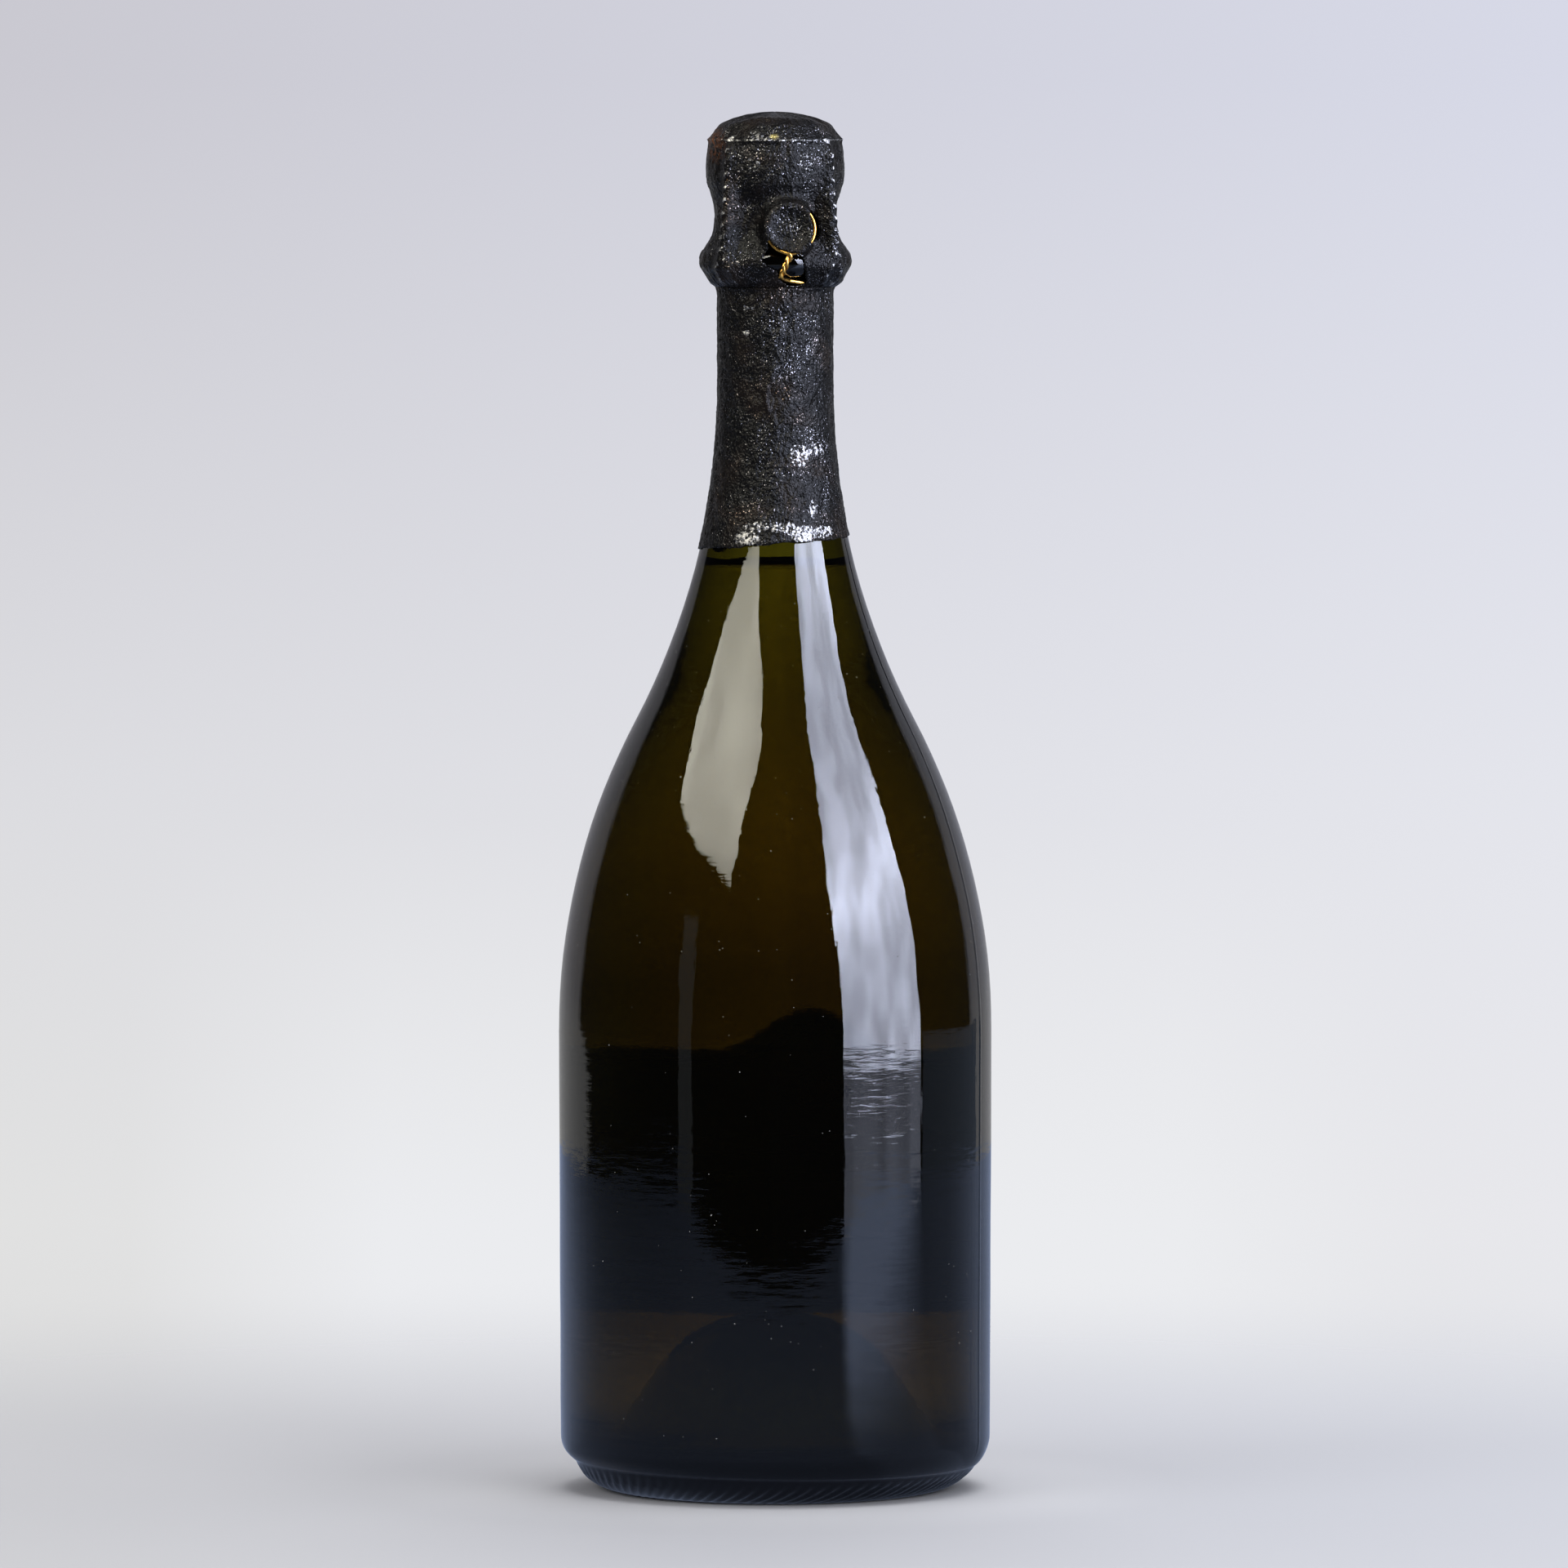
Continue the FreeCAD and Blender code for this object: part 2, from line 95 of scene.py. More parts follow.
def rounded(points, passes):
    """Outline with its corners eased."""
    points = points.copy()
    for _ in range(passes):
        points[1:-1] = points[:-2] / 4 + points[1:-1] / 2 + points[2:] / 4
    return points


def outline_normals(points):
    """Unit normals to the right of an outline's direction: outwards for one that climbs the outside."""
    along = np.gradient(points, axis=0)
    along /= np.hypot(*along.T)[:, None]
    return np.column_stack([along[:, 1], -along[:, 0]])


def new_object(name, points, faces, material, smooth_shading=True):
    mesh = bpy.data.meshes.new(name)
    mesh.from_pydata((np.asarray(points) * MM).tolist(), [], faces)
    mesh.update()
    if smooth_shading:
        mesh.shade_smooth()
    thing = bpy.data.objects.new(name, mesh)
    bpy.context.scene.collection.objects.link(thing)
    if material is not None:
        mesh.materials.append(material)
    return thing


def grid_faces(rows, columns, closed=True):
    """Quads of a grid that is stored row by row, closed along each row if wanted."""
    spans = columns if closed else columns - 1
    row, column = np.meshgrid(np.arange(rows - 1), np.arange(spans), indexing="ij")
    after = (column + 1) % columns
    quads = np.stack([row * columns + column, row * columns + after,
                      (row + 1) * columns + after, (row + 1) * columns + column], axis=-1)
    return quads.reshape(-1, 4)


def place(radius, turn, height):
    return np.stack([radius * np.sin(turn), -radius * np.cos(turn), height], axis=-1)


def lathe(name, outline, columns, material, push=None, lift=None):
    """Closed body of revolution from the axis to the axis. push moves its points along the outline's normal,
    lift moves them up; each is given (turn, radius, height)."""
    outline = np.asarray(outline, float)
    turn = np.linspace(0, TAU, columns, endpoint=False)[None, :]
    normals = outline_normals(outline)
    radius = np.repeat(outline[:, :1], columns, 1)
    height = np.repeat(outline[:, 1:], columns, 1)
    if push is not None:
        amount = push(turn, radius, height)
        radius, height = radius + amount * normals[:, :1], height + amount * normals[:, 1:]
    if lift is not None:
        height = height + lift(turn, radius, height)
    body = place(radius[1:-1], turn, height[1:-1])
    rows = len(outline) - 2
    points = np.vstack([body.reshape(-1, 3), [[0, 0, outline[0, 1]], [0, 0, outline[-1, 1]]]])
    faces = grid_faces(rows, columns).tolist()
    first, last = rows * columns, rows * columns + 1
    top = (rows - 1) * columns
    for k in range(columns):
        after = (k + 1) % columns
        faces.append([first, after, k])
        faces.append([last, top + k, top + after])
    return new_object(name, points, faces, material)


def tube(name, path, radius, material, sides=12):
    """Round wire along a path of points, its ends capped."""
    path = np.asarray(path, float)
    along = np.gradient(path, axis=0)
    along /= np.linalg.norm(along, axis=1)[:, None]
    side = np.cross(along[0], (0.3, 0.2, 0.93))
    side /= np.linalg.norm(side)
    rings = []
    angles = np.linspace(0, TAU, sides, endpoint=False)
    for centre, heading in zip(path, along):
        side = side - heading * (side @ heading)
        side /= np.linalg.norm(side)
        other = np.cross(heading, side)
        rings.append(centre + radius * (np.cos(angles)[:, None] * side + np.sin(angles)[:, None] * other))
    points = np.vstack(rings)
    faces = grid_faces(len(path), sides).tolist()
    faces.append(list(range(sides))[::-1])
    faces.append([len(points) - sides + k for k in range(sides)])
    return new_object(name, points, faces, material)


def polygon_distance(x, z, corners):
    """Distance to a polygon's edge, negative inside."""
    corners = np.asarray(corners, float)
    best = np.full(np.shape(x), 1e9)
    inside = np.zeros(np.shape(x), bool)
    for (x1, z1), (x2, z2) in zip(corners, np.roll(corners, -1, axis=0)):
        dx, dz = x2 - x1, z2 - z1
        share = np.clip(((x - x1) * dx + (z - z1) * dz) / (dx * dx + dz * dz), 0, 1)
        best = np.minimum(best, np.hypot(x - x1 - share * dx, z - z1 - share * dz))
        if z1 != z2:
            crosses = (z1 > z) != (z2 > z)
            inside ^= crosses & (x < dx * (z - z1) / (z2 - z1) + x1)
    return np.where(inside, -best, best)


def line_distance(x, z, places):
    """Distance to an open line."""
    best = np.full(np.shape(x), 1e9)
    for (x1, z1), (x2, z2) in zip(places, places[1:]):
        dx, dz = x2 - x1, z2 - z1
        share = np.clip(((x - x1) * dx + (z - z1) * dz) / (dx * dx + dz * dz), 0, 1)
        best = np.minimum(best, np.hypot(x - x1 - share * dx, z - z1 - share * dz))
    return best


# ---- materials ----
class Nodes:
    """A material's or the world's node tree, made node by node."""

    def __init__(self, owner):
        owner.use_nodes = True
        self.tree = owner.node_tree
        self.tree.nodes.clear()

    def add(self, kind, inputs=None, **settings):
        node = self.tree.nodes.new(kind)
        for name, value in settings.items():
            setattr(node, name, value)
        for name, value in (inputs or {}).items():
            self.put(node.inputs[name], value)
        return node

    def put(self, socket, value):
        if isinstance(value, bpy.types.NodeSocket):
            self.tree.links.new(value, socket)
        else:
            socket.default_value = value

    def math(self, operation, first, second=0.0, third=0.0):
        node = self.add("ShaderNodeMath", {0: first, 1: second}, operation=operation)
        if operation == "MULTIPLY_ADD":
            self.put(node.inputs[2], third)
        return node.outputs[0]

    def length(self, x, y):
        return self.math("SQRT", self.math("ADD", self.math("MULTIPLY", x, x), self.math("MULTIPLY", y, y)))

    def span(self, value, low, high, start=0.0, end=1.0, ease=False):
        node = self.add("ShaderNodeMapRange", {"Value": value, "From Min": low, "From Max": high,
                                               "To Min": start, "To Max": end})
        if ease:
            node.interpolation_type = "SMOOTHSTEP"
        return node.outputs[0]

    def mix(self, share, first, second):
        node = self.add("ShaderNodeMix", data_type="RGBA")
        self.put(node.inputs[0], share)
        self.put(node.inputs[6], first)
        self.put(node.inputs[7], second)
        return node.outputs[2]

    def blend(self, share, first, second):
        node = self.add("ShaderNodeMix", data_type="FLOAT")
        self.put(node.inputs[0], share)
        self.put(node.inputs[2], first)
        self.put(node.inputs[3], second)
        return node.outputs[0]

    def ramp(self, value, *stops):
        node = self.add("ShaderNodeValToRGB", {0: value})
        elements = node.color_ramp.elements
        while len(elements) < len(stops):
            elements.new(0.5)
        for element, (position, colour) in zip(elements, stops):
            element.position = position
            element.color = (*colour, 1)
        return node.outputs[0]

    def split(self, coordinates):
        """x, y and z of one of the texture coordinates."""
        whole = self.add("ShaderNodeTexCoord").outputs[coordinates]
        return tuple(self.add("ShaderNodeSeparateXYZ", {0: whole}).outputs)

    def place(self, stretch=(1, 1, 1)):
        """Place on the object in millimetres, stretched."""
        coords = self.add("ShaderNodeTexCoord").outputs["Object"]
        node = self.add("ShaderNodeVectorMath", {0: coords, 1: tuple(1000 * s for s in stretch)},
                        operation="MULTIPLY")
        return node.outputs[0]

    def noise(self, size, stretch=(1, 1, 1), detail=2.0, roughness=0.5, distortion=0.0):
        node = self.add("ShaderNodeTexNoise", {"Vector": self.place(stretch), "Scale": 1 / size,
                                               "Detail": detail, "Roughness": roughness,
                                               "Distortion": distortion})
        return node.outputs[0]

    def attribute(self, name):
        return self.add("ShaderNodeAttribute", attribute_name=name).outputs["Fac"]

    def bump(self, height, distance):
        return self.add("ShaderNodeBump", {"Height": height, "Distance": distance * MM, "Strength": 1.0}).outputs[0]

    def surface(self, volume=None, **values):
        names = {"colour": "Base Color", "metallic": "Metallic", "roughness": "Roughness", "ior": "IOR",
                 "transmission": "Transmission Weight", "normal": "Normal", "specular": "Specular IOR Level"}
        shader = self.add("ShaderNodeBsdfPrincipled", {names[k]: v for k, v in values.items()})
        output = self.add("ShaderNodeOutputMaterial", {"Surface": shader.outputs[0]})
        if volume is not None:
            colour, density = volume
            inside = self.add("ShaderNodeVolumeAbsorption", {"Color": (*colour, 1), "Density": density})
            self.put(output.inputs["Volume"], inside.outputs[0])


def material(name):
    made = bpy.data.materials.new(name)
    return made, Nodes(made)


def glass_material():
    made, nodes = material("dark_green_glass")
    streaks = nodes.noise(2.6, (1, 1, 0.06), 2.0)
    ripples = nodes.noise(9.0, (0.7, 0.7, 1.5), 2.0, 0.5)
    brushed = nodes.noise(1.3, (0.12, 0.12, 1.0), 3.0, 0.6)
    height = nodes.math("MULTIPLY_ADD", ripples, 1.5, streaks)
    height = nodes.math("MULTIPLY_ADD", brushed, 0.5, height)
    nodes.surface(colour=(1, 1, 1, 1), roughness=0.0, ior=1.52, transmission=1.0,
                  normal=nodes.bump(height, 0.026), volume=((0.56, 0.54, 0.02), 485.0))
    return made


def wine_material():
    made, nodes = material("golden_wine")
    nodes.surface(colour=(1, 1, 1, 1), roughness=0.0, ior=1.34, transmission=1.0,
                  volume=((0.85, 0.71, 0.0), 38.0))
    return made


def foil_material():
    """Black lacquer with a pebbled grain, worn through to the metal in flecks and patches."""
    made, nodes = material("worn_black_foil")
    worn = nodes.attribute("worn")
    grain = nodes.noise(0.5, (1, 1, 1), 1.0, 0.5)
    pebbles = nodes.add("ShaderNodeTexVoronoi", {"Vector": nodes.place(), "Scale": 1 / 0.95},
                        feature="SMOOTH_F1").outputs["Distance"]
    wrinkles = nodes.noise(2.4, (1.2, 1.2, 0.8), 3.0, 0.6, 0.8)
    height = nodes.math("MULTIPLY_ADD", pebbles, -0.9, grain)
    height = nodes.math("MULTIPLY_ADD", wrinkles, 1.5, height)
    normal = nodes.bump(height, 0.3)
    cloudy = nodes.noise(7.0, detail=2.0)
    patches = nodes.noise(0.75, (1, 1, 1), 3.0, 0.66)
    bare = nodes.span(nodes.math("ADD", worn, patches), 1.0, 1.1, ease=True)
    specks = nodes.math("MULTIPLY_ADD", cloudy, 0.3, nodes.noise(0.36, (1.1, 1.1, 0.75), 2.0, 0.6))
    flecks = nodes.span(specks, 0.797, 0.84)
    rust = nodes.math("MULTIPLY", nodes.attribute("rust"), nodes.span(nodes.noise(1.4, detail=3.0), 0.4, 0.6))
    gilt = nodes.attribute("gilt")
    brown = nodes.span(nodes.noise(11.0, detail=2.0), 0.5, 0.68)
    tint = nodes.mix(brown, (0.0045, 0.0042, 0.0042, 1), (0.011, 0.008, 0.0062, 1))
    fleck_tint = nodes.mix(brown, (0.34, 0.33, 0.35, 1), (0.28, 0.2, 0.15, 1))
    colour = nodes.mix(flecks, tint, fleck_tint)
    colour = nodes.mix(bare, colour, (0.4, 0.39, 0.385, 1))
    colour = nodes.mix(rust, colour, (0.16, 0.055, 0.016, 1))
    colour = nodes.mix(gilt, colour, (0.5, 0.42, 0.17, 1))
    metallic = nodes.math("MAXIMUM", nodes.math("MAXIMUM", bare, gilt), flecks)
    roughness = nodes.blend(bare, 0.27, 0.36)
    nodes.surface(colour=colour, metallic=metallic, roughness=roughness, normal=normal, ior=1.5,
                  specular=0.13)
    return made


def wire_material():
    made, nodes = material("gilt_wire")
    tarnish = nodes.span(nodes.noise(1.3, detail=3.0), 0.42, 0.72)
    colour = nodes.mix(tarnish, (0.88, 0.5, 0.11, 1), (0.42, 0.2, 0.05, 1))
    nodes.surface(colour=colour, metallic=1.0, roughness=0.24)
    return made


def cork_material():
    made, nodes = material("cork")
    colour = nodes.mix(nodes.noise(1.2, detail=4.0), (0.5, 0.33, 0.18, 1), (0.25, 0.14, 0.07, 1))
    nodes.surface(colour=colour, roughness=0.85, normal=nodes.bump(nodes.noise(0.8, detail=4.0), 0.2))
    return made


def cap_material():
    made, nodes = material("cap_plate")
    nodes.surface(colour=(0.55, 0.42, 0.2, 1), metallic=1.0, roughness=0.35)
    return made


def paper_material():
    """Aged cream paper with a ruled border, a plain diamond and plain bars. across and up are millimetres on the
    sheet, and border is the distance from its edge."""
    made, nodes = material("label_paper")
    across, up, border = (nodes.attribute(name) for name in ("across", "up", "border"))

    def bar(value, middle, half):
        return nodes.span(nodes.math("ABSOLUTE", nodes.math("SUBTRACT", value, middle)), half, half + 0.12, 1, 0)

    def box(middle, half, height, half_height):
        return nodes.math("MULTIPLY", bar(across, middle, half), bar(up, height, half_height))

    ink = nodes.math("MAXIMUM", bar(border, 3.2, 0.45), bar(border, 4.6, 0.15))
    reach = nodes.math("MULTIPLY_ADD", nodes.math("ABSOLUTE", nodes.math("SUBTRACT", up, 107.0)), 0.8,
                       nodes.math("ABSOLUTE", across))
    ink = nodes.math("MAXIMUM", ink, bar(reach, 5.2, 0.35))
    ink = nodes.math("MAXIMUM", ink, nodes.span(reach, 3.2, 3.4, 1, 0))
    for middle, half, height, half_height in ((0, 30, 92, 2.6), (0, 22, 83, 1.3), (0, 36, 66, 0.3),
                                              (-22, 12, 59, 0.8), (22, 12, 59, 0.8), (0, 36, 53.5, 0.3)):
        ink = nodes.math("MAXIMUM", ink, box(middle, half, height, half_height))
    wear = nodes.span(nodes.noise(0.5, detail=3.0), 0.28, 0.42)
    ink = nodes.math("MULTIPLY", ink, wear)
    paper = nodes.mix(nodes.noise(14.0, detail=4.0, roughness=0.6), (0.78, 0.71, 0.55, 1), (0.62, 0.52, 0.36, 1))
    edge = nodes.span(border, 0.0, 2.2, 0.55, 0.0)
    paper = nodes.mix(edge, paper, (0.42, 0.31, 0.18, 1))
    colour = nodes.mix(ink, paper, (0.1, 0.065, 0.03, 1))
    nodes.surface(colour=colour, roughness=0.75, normal=nodes.bump(nodes.noise(0.25, detail=3.0), 0.03))
    return made


def dust_material():
    made, nodes = material("dust")
    nodes.surface(colour=(0.36, 0.36, 0.35, 1), roughness=0.9)
    return made


# ---- the bottle's sizes, as in the CAD part ----
BODY_R, FOOT_R, NECK_R = 59.4, 59.0, 15.45
BODY_HEIGHT, NECK_LOW, NECK_TOP = 126.0, 303.4, 328.5
HEEL_HEIGHT, SHOULDER_R, WALL = 14.5, 182.0, 6.5
NARROWING, SHOULDER_LENGTH = BODY_R - NECK_R, NECK_LOW - BODY_HEIGHT
HOLLOW_R = (NARROWING ** 2 - 2 * SHOULDER_R * NARROWING + SHOULDER_LENGTH ** 2) / (2 * NARROWING)
SHOULDER = (BODY_R - SHOULDER_R, BODY_HEIGHT)
HOLLOW = (NECK_R + HOLLOW_R, NECK_LOW)
TURN = math.degrees(math.atan2(HOLLOW[1] - SHOULDER[1], HOLLOW[0] - SHOULDER[0]))
CROWN, CROWN_R = (0, 24.0), 16.0
BED, BED_R = (41.5, 5.0), 5.0
BELT_R, BELT_Z = 16.9, 331.6
RING_R, RING_Z = 17.0, 370.1
WIRE_R = 0.5
WINE_Z = 252.4
LEGS = np.radians([-40.5, 49.0, 140.0, -134.0])
EYE_X, EYE_Z, EYE_R = 4.2, 346.1, 6.58

# ---- sizes of what is finer than the CAD part ----
KNURLS, KNURL_DEPTH, KNURL_START, KNURL_REACH, KNURL_TOP = 90, 0.6, 44.4, 10.5, 6.5
SEAM_TURN, SEAM_RISE = 1.235, 0.154
MOULD_LINE_Z, MOULD_LINE_TILT = 7.4, 0.75
WALL_REACH, MENISCUS = 0.15, 2.6
FOIL_EDGE_Z, FOIL_EDGE_TILT, FOIL_EDGE_REACH, FOIL_SHEET = 260.1, 4.9, 24.0, 0.22
LABEL_LOW, LABEL_TOP, LABEL_PEAK, LABEL_SHOULDER, LABEL_HALF = 45, 118, 10, 15, 55
LABEL_TURN = math.radians(174.9)
STRAND_R, STRAND_OFF, STRAND_PITCH, LEG_SPREAD, LEG_WIDTH = 0.46, 0.47, 6.8, 2.2, 1.15
BEAD_PITCH = 3.4
SPECKS_OF_DUST, DUST_RISE = 620, 0.09


def walls(depth, fine):
    """The shoulder's and the neck's outline, a depth inside the glass, going up."""
    return chain(sweep(SHOULDER, SHOULDER_R - depth, 0, TURN, fine),
                 sweep(HOLLOW, HOLLOW_R + depth, 180 + TURN, 180, fine))


def touching_angle(first, first_radius, second, second_radius):
    across = math.hypot(second[0] - first[0], second[1] - first[1])
    heading = math.degrees(math.atan2(second[1] - first[1], second[0] - first[0]))
    return heading + math.degrees(math.acos((first_radius + second_radius) / across))


def cavity(grow, fine):
    """The inside of the glass from the axis up to the finish, grown by an amount."""
    crown_r = CROWN_R + 10.0 - grow
    valley, valley_r = (FOOT_R - WALL - 11.0, 22.5), 11.0 + grow
    normal = touching_angle(CROWN, crown_r, valley, valley_r)
    return chain(sweep(CROWN, crown_r, 90, normal, fine // 2),
                 sweep(valley, valley_r, normal + 180, 360, fine // 2 + 3),
                 straight((FOOT_R - WALL + grow, 22.5), (BODY_R - WALL + grow, BODY_HEIGHT), fine // 2),
                 walls(WALL - grow, fine),
                 straight((NECK_R - WALL + grow, NECK_LOW), (NECK_R - WALL + grow, NECK_TOP), 4))


# ---- glass ----
def glass_outline():
    """The section of the glass: under the bottle, up the outside, over the lip and down the inside."""
    normal = touching_angle(CROWN, CROWN_R, BED, BED_R)
    under = chain(sweep(CROWN, CROWN_R, 90, normal, 6), sweep(BED, BED_R, normal + 180, 270, 6), [(44.0, 0)],
                  sweep((44.0, 12.2), 12.2, -88, -23.2, 18), sweep((49.9, HEEL_HEIGHT), 9.1, -50.3, 0, 10))
    body = straight((FOOT_R, HEEL_HEIGHT), (BODY_R, BODY_HEIGHT), 12)
    finish = [(15.45, 328.5), (15.6, 330.8), (16.2, 332.0), (17.2, 332.9), (19.65, 334.9), (20.15, 335.7),
              (20.33, 336.5), (20.33, 337.5), (20.15, 338.3), (19.65, 339.1), (17.3, 342.2), (16.1, 344.9),
              (15.7, 351.4), (15.2, 352.5), (14.2, 352.9), (9.7, 352.9), (8.9, 352.1), (8.9, 338.9)]
    inside = cavity(0, 18)[::-1]
    return chain(under, body, walls(0, 18), straight((NECK_R, NECK_LOW), (NECK_R, NECK_TOP), 4), finish, inside)


def glass_push(turn, radius, height):
    """Waves in the glass, the mould's two upright seams, and the knurls round the standing ring."""
    flow = 0.05 * waves(3, turn, height, (1, 6), (30, 90)) + 0.02 * waves(4, turn, height, (6, 22), (8, 40))
    calm = smooth(2, 12, height) * (1 - 0.8 * smooth(300, 320, height))
    low = (radius > KNURL_START) & (height < KNURL_TOP)
    along = np.clip((radius - KNURL_START) / KNURL_REACH, 0, 1)
    knurl = 0.5 + 0.5 * np.cos(KNURLS * turn - 1.875 * (radius - KNURL_START))
    depth = KNURL_DEPTH * low * np.sin(math.pi * along) ** 0.7 * knurl ** 1.5
    seams = sum(np.exp(-(wrap(turn - at) * 145) ** 2) for at in (SEAM_TURN, SEAM_TURN - math.pi))
    seams = seams * smooth(8, 16, height) * (1 - smooth(300, 315, height)) * (radius > 20)
    return flow * calm + SEAM_RISE * seams - depth


def glass_lift(turn, radius, height):
    """The mould's lower seam lies a little askew."""
    near = np.exp(-((height - MOULD_LINE_Z) / 3.0) ** 2) * (radius > 53)
    return -MOULD_LINE_TILT * np.sin(turn) * near


# ---- wine ----
def wine_outline():
    """The wine's section, reaching just into the wall, with its surface drawn up where it meets the glass."""
    shell = cavity(WALL_REACH, 22)
    level = WINE_Z + MENISCUS
    below = shell[shell[:, 1] < level]
    above = shell[len(below)]
    share = (level - below[-1, 1]) / (above[1] - below[-1, 1])
    rim = below[-1] * (1 - share) + above * share
    reach = np.array([0.0, 0.35, 0.8, 1.4, 2.2, 3.4, 5.0, 7.5])
    surface = np.column_stack([rim[0] - reach, WINE_Z + MENISCUS * np.exp(-reach / 1.15)])
    return chain(below, surface, [(rim[0] - 11, WINE_Z), (0, WINE_Z)])


# ---- foil ----
FOIL_JOIN = (16.35, 329.9)  # where the foil's neck and head pieces meet
FOIL_ROWS = [FOIL_JOIN, (17.0, 330.3), (18.4, 331.5), (18.85, 333.0), (20.2, 335.0), (20.77, 336.1),
             (20.77, 338.1), (20.2, 339.3), (17.95, 342.3), (16.75, 345.0), (16.45, 349.0), (16.5, 352.0),
             (17.5, 355.3), (18.65, 358.4), (18.85, 361.9), (18.75, 365.0), (18.3, 368.6), (18.05, 370.6),
             (16.5, 372.5), (14.9, 374.4), (11.5, 375.9), (8.0, 376.8), (4.0, 377.4), (0.0, 377.6)]
LEG_PATH = [  # radius and height of the foil over a leg's middle
    (19.75, 326.0), (19.8, 331.3), (22.75, 335.2), (22.75, 339.0), (20.85, 359.5), (20.75, 366.0),
    (18.6, 370.4), (16.2, 373.0), (12.0, 376.0)]
TEAR = [(-3.9, 337.2), (-2.9, 339.4), (-1.9, 340.9), (-1.2, 342.6), (0.6, 340.9), (3.0, 339.6), (4.9, 339.1),
        (6.4, 339.7), (7.6, 338.9), (8.1, 336.8), (8.2, 334.0), (8.7, 331.2), (6.2, 330.3), (3.2, 330.4),
        (1.3, 332.3), (0.7, 334.2), (-1.2, 335.3), (-2.6, 336.4)]


def ring_slit(start, end, inner, outer):
    """Corners of a slit along the loop, degrees from +X."""
    angles = np.radians(np.linspace(start, end, 14))
    bulge = 1 - ((angles - angles.mean()) / (angles[-1] - angles.mean())) ** 4 * 0.8
    middle, half = (inner + outer) / 2, (outer - inner) / 2
    out = [(EYE_X + (middle + half * b) * math.cos(a), EYE_Z + (middle + half * b) * math.sin(a))
           for a, b in zip(angles, bulge)]
    back = [(EYE_X + (middle - half * b) * math.cos(a), EYE_Z + (middle - half * b) * math.sin(a))
            for a, b in zip(angles, bulge)]
    return out + back[::-1]


HOLES = [TEAR, ring_slit(-34, 42, 6.0, 7.75), ring_slit(206, 285, 6.0, 8.1)]
WORN_SPOTS = [  # x, z, half width, half height, strength
    (-7.6, 261.8, 4.4, 2.4, 0.56), (-5.0, 264.8, 4.6, 1.8, 0.53), (2.0, 264.6, 5.0, 1.9, 0.53),
    (7.6, 263.0, 4.6, 2.8, 0.57), (13.0, 263.4, 3.6, 2.0, 0.55), (10.2, 269.6, 1.5, 3.2, 0.52),
    (6.8, 284.2, 3.6, 3.8, 0.53), (11.0, 285.5, 3.0, 2.6, 0.5), (-7.9, 324.4, 0.9, 1.0, 0.62),
    (-6.1, 324.3, 0.7, 0.9, 0.58), (-7.9, 317.6, 1.1, 1.0, 0.64), (8.4, 364.6, 2.7, 3.6, 0.44),
    (-1.9, 370.9, 2.2, 0.8, 0.46), (5.5, 370.3, 2.5, 0.6, 0.42), (-5.0, 371.5, 2.8, 1.4, 0.5),
    (-6.4, 363.6, 3.0, 2.6, 0.43), (16.8, 337.0, 1.6, 4.0, 0.36)]
CREASES = [  # places, height, half width, wear
    ([(-0.1, 308.2), (-2.7, 301.8), (-2.3, 297.5), (0.7, 291.5)], 0.5, 0.7, 0.34),
    ([(-1.0, 314.6), (1.2, 317.6), (3.5, 322.4)], 0.35, 0.55, 0.38),
    ([(12.0, 319.0), (11.0, 311.5)], 0.3, 0.4, 0.42),
    ([(14.0, 286.5), (16.0, 278.2), (17.8, 271.0)], 0.35, 0.5, 0.4),
    ([(-11.6, 305.0), (-10.4, 298.8), (-9.4, 292.4)], 0.3, 0.5, 0.36),
    ([(-4.4, 303.0), (-5.2, 292.0), (-4.8, 282.0)], 0.25, 0.5, 0.3),
    ([(4.0, 322.0), (7.5, 326.5)], 0.3, 0.5, 0.34),
    ([(7.4, 364.8), (11.4, 364.9)], 0.15, 0.3, 0.62),
    ([(-14.2, 371.2), (-11.7, 374.2), (-4.0, 375.9), (9.5, 375.3), (13.0, 371.9)], 0.4, 0.5, 0.33),
    ([(3.2, 376.2), (5.6, 373.6), (8.0, 371.4)], 0.2, 0.4, 0.3),
    ([(4.5, 357.6), (5.5, 352.4), (4.6, 349.4)], 0.3, 0.6, 0.34),
    ([(-6.0, 352.0), (-8.0, 346.5), (-8.4, 342.0)], 0.25, 0.6, 0.3)]


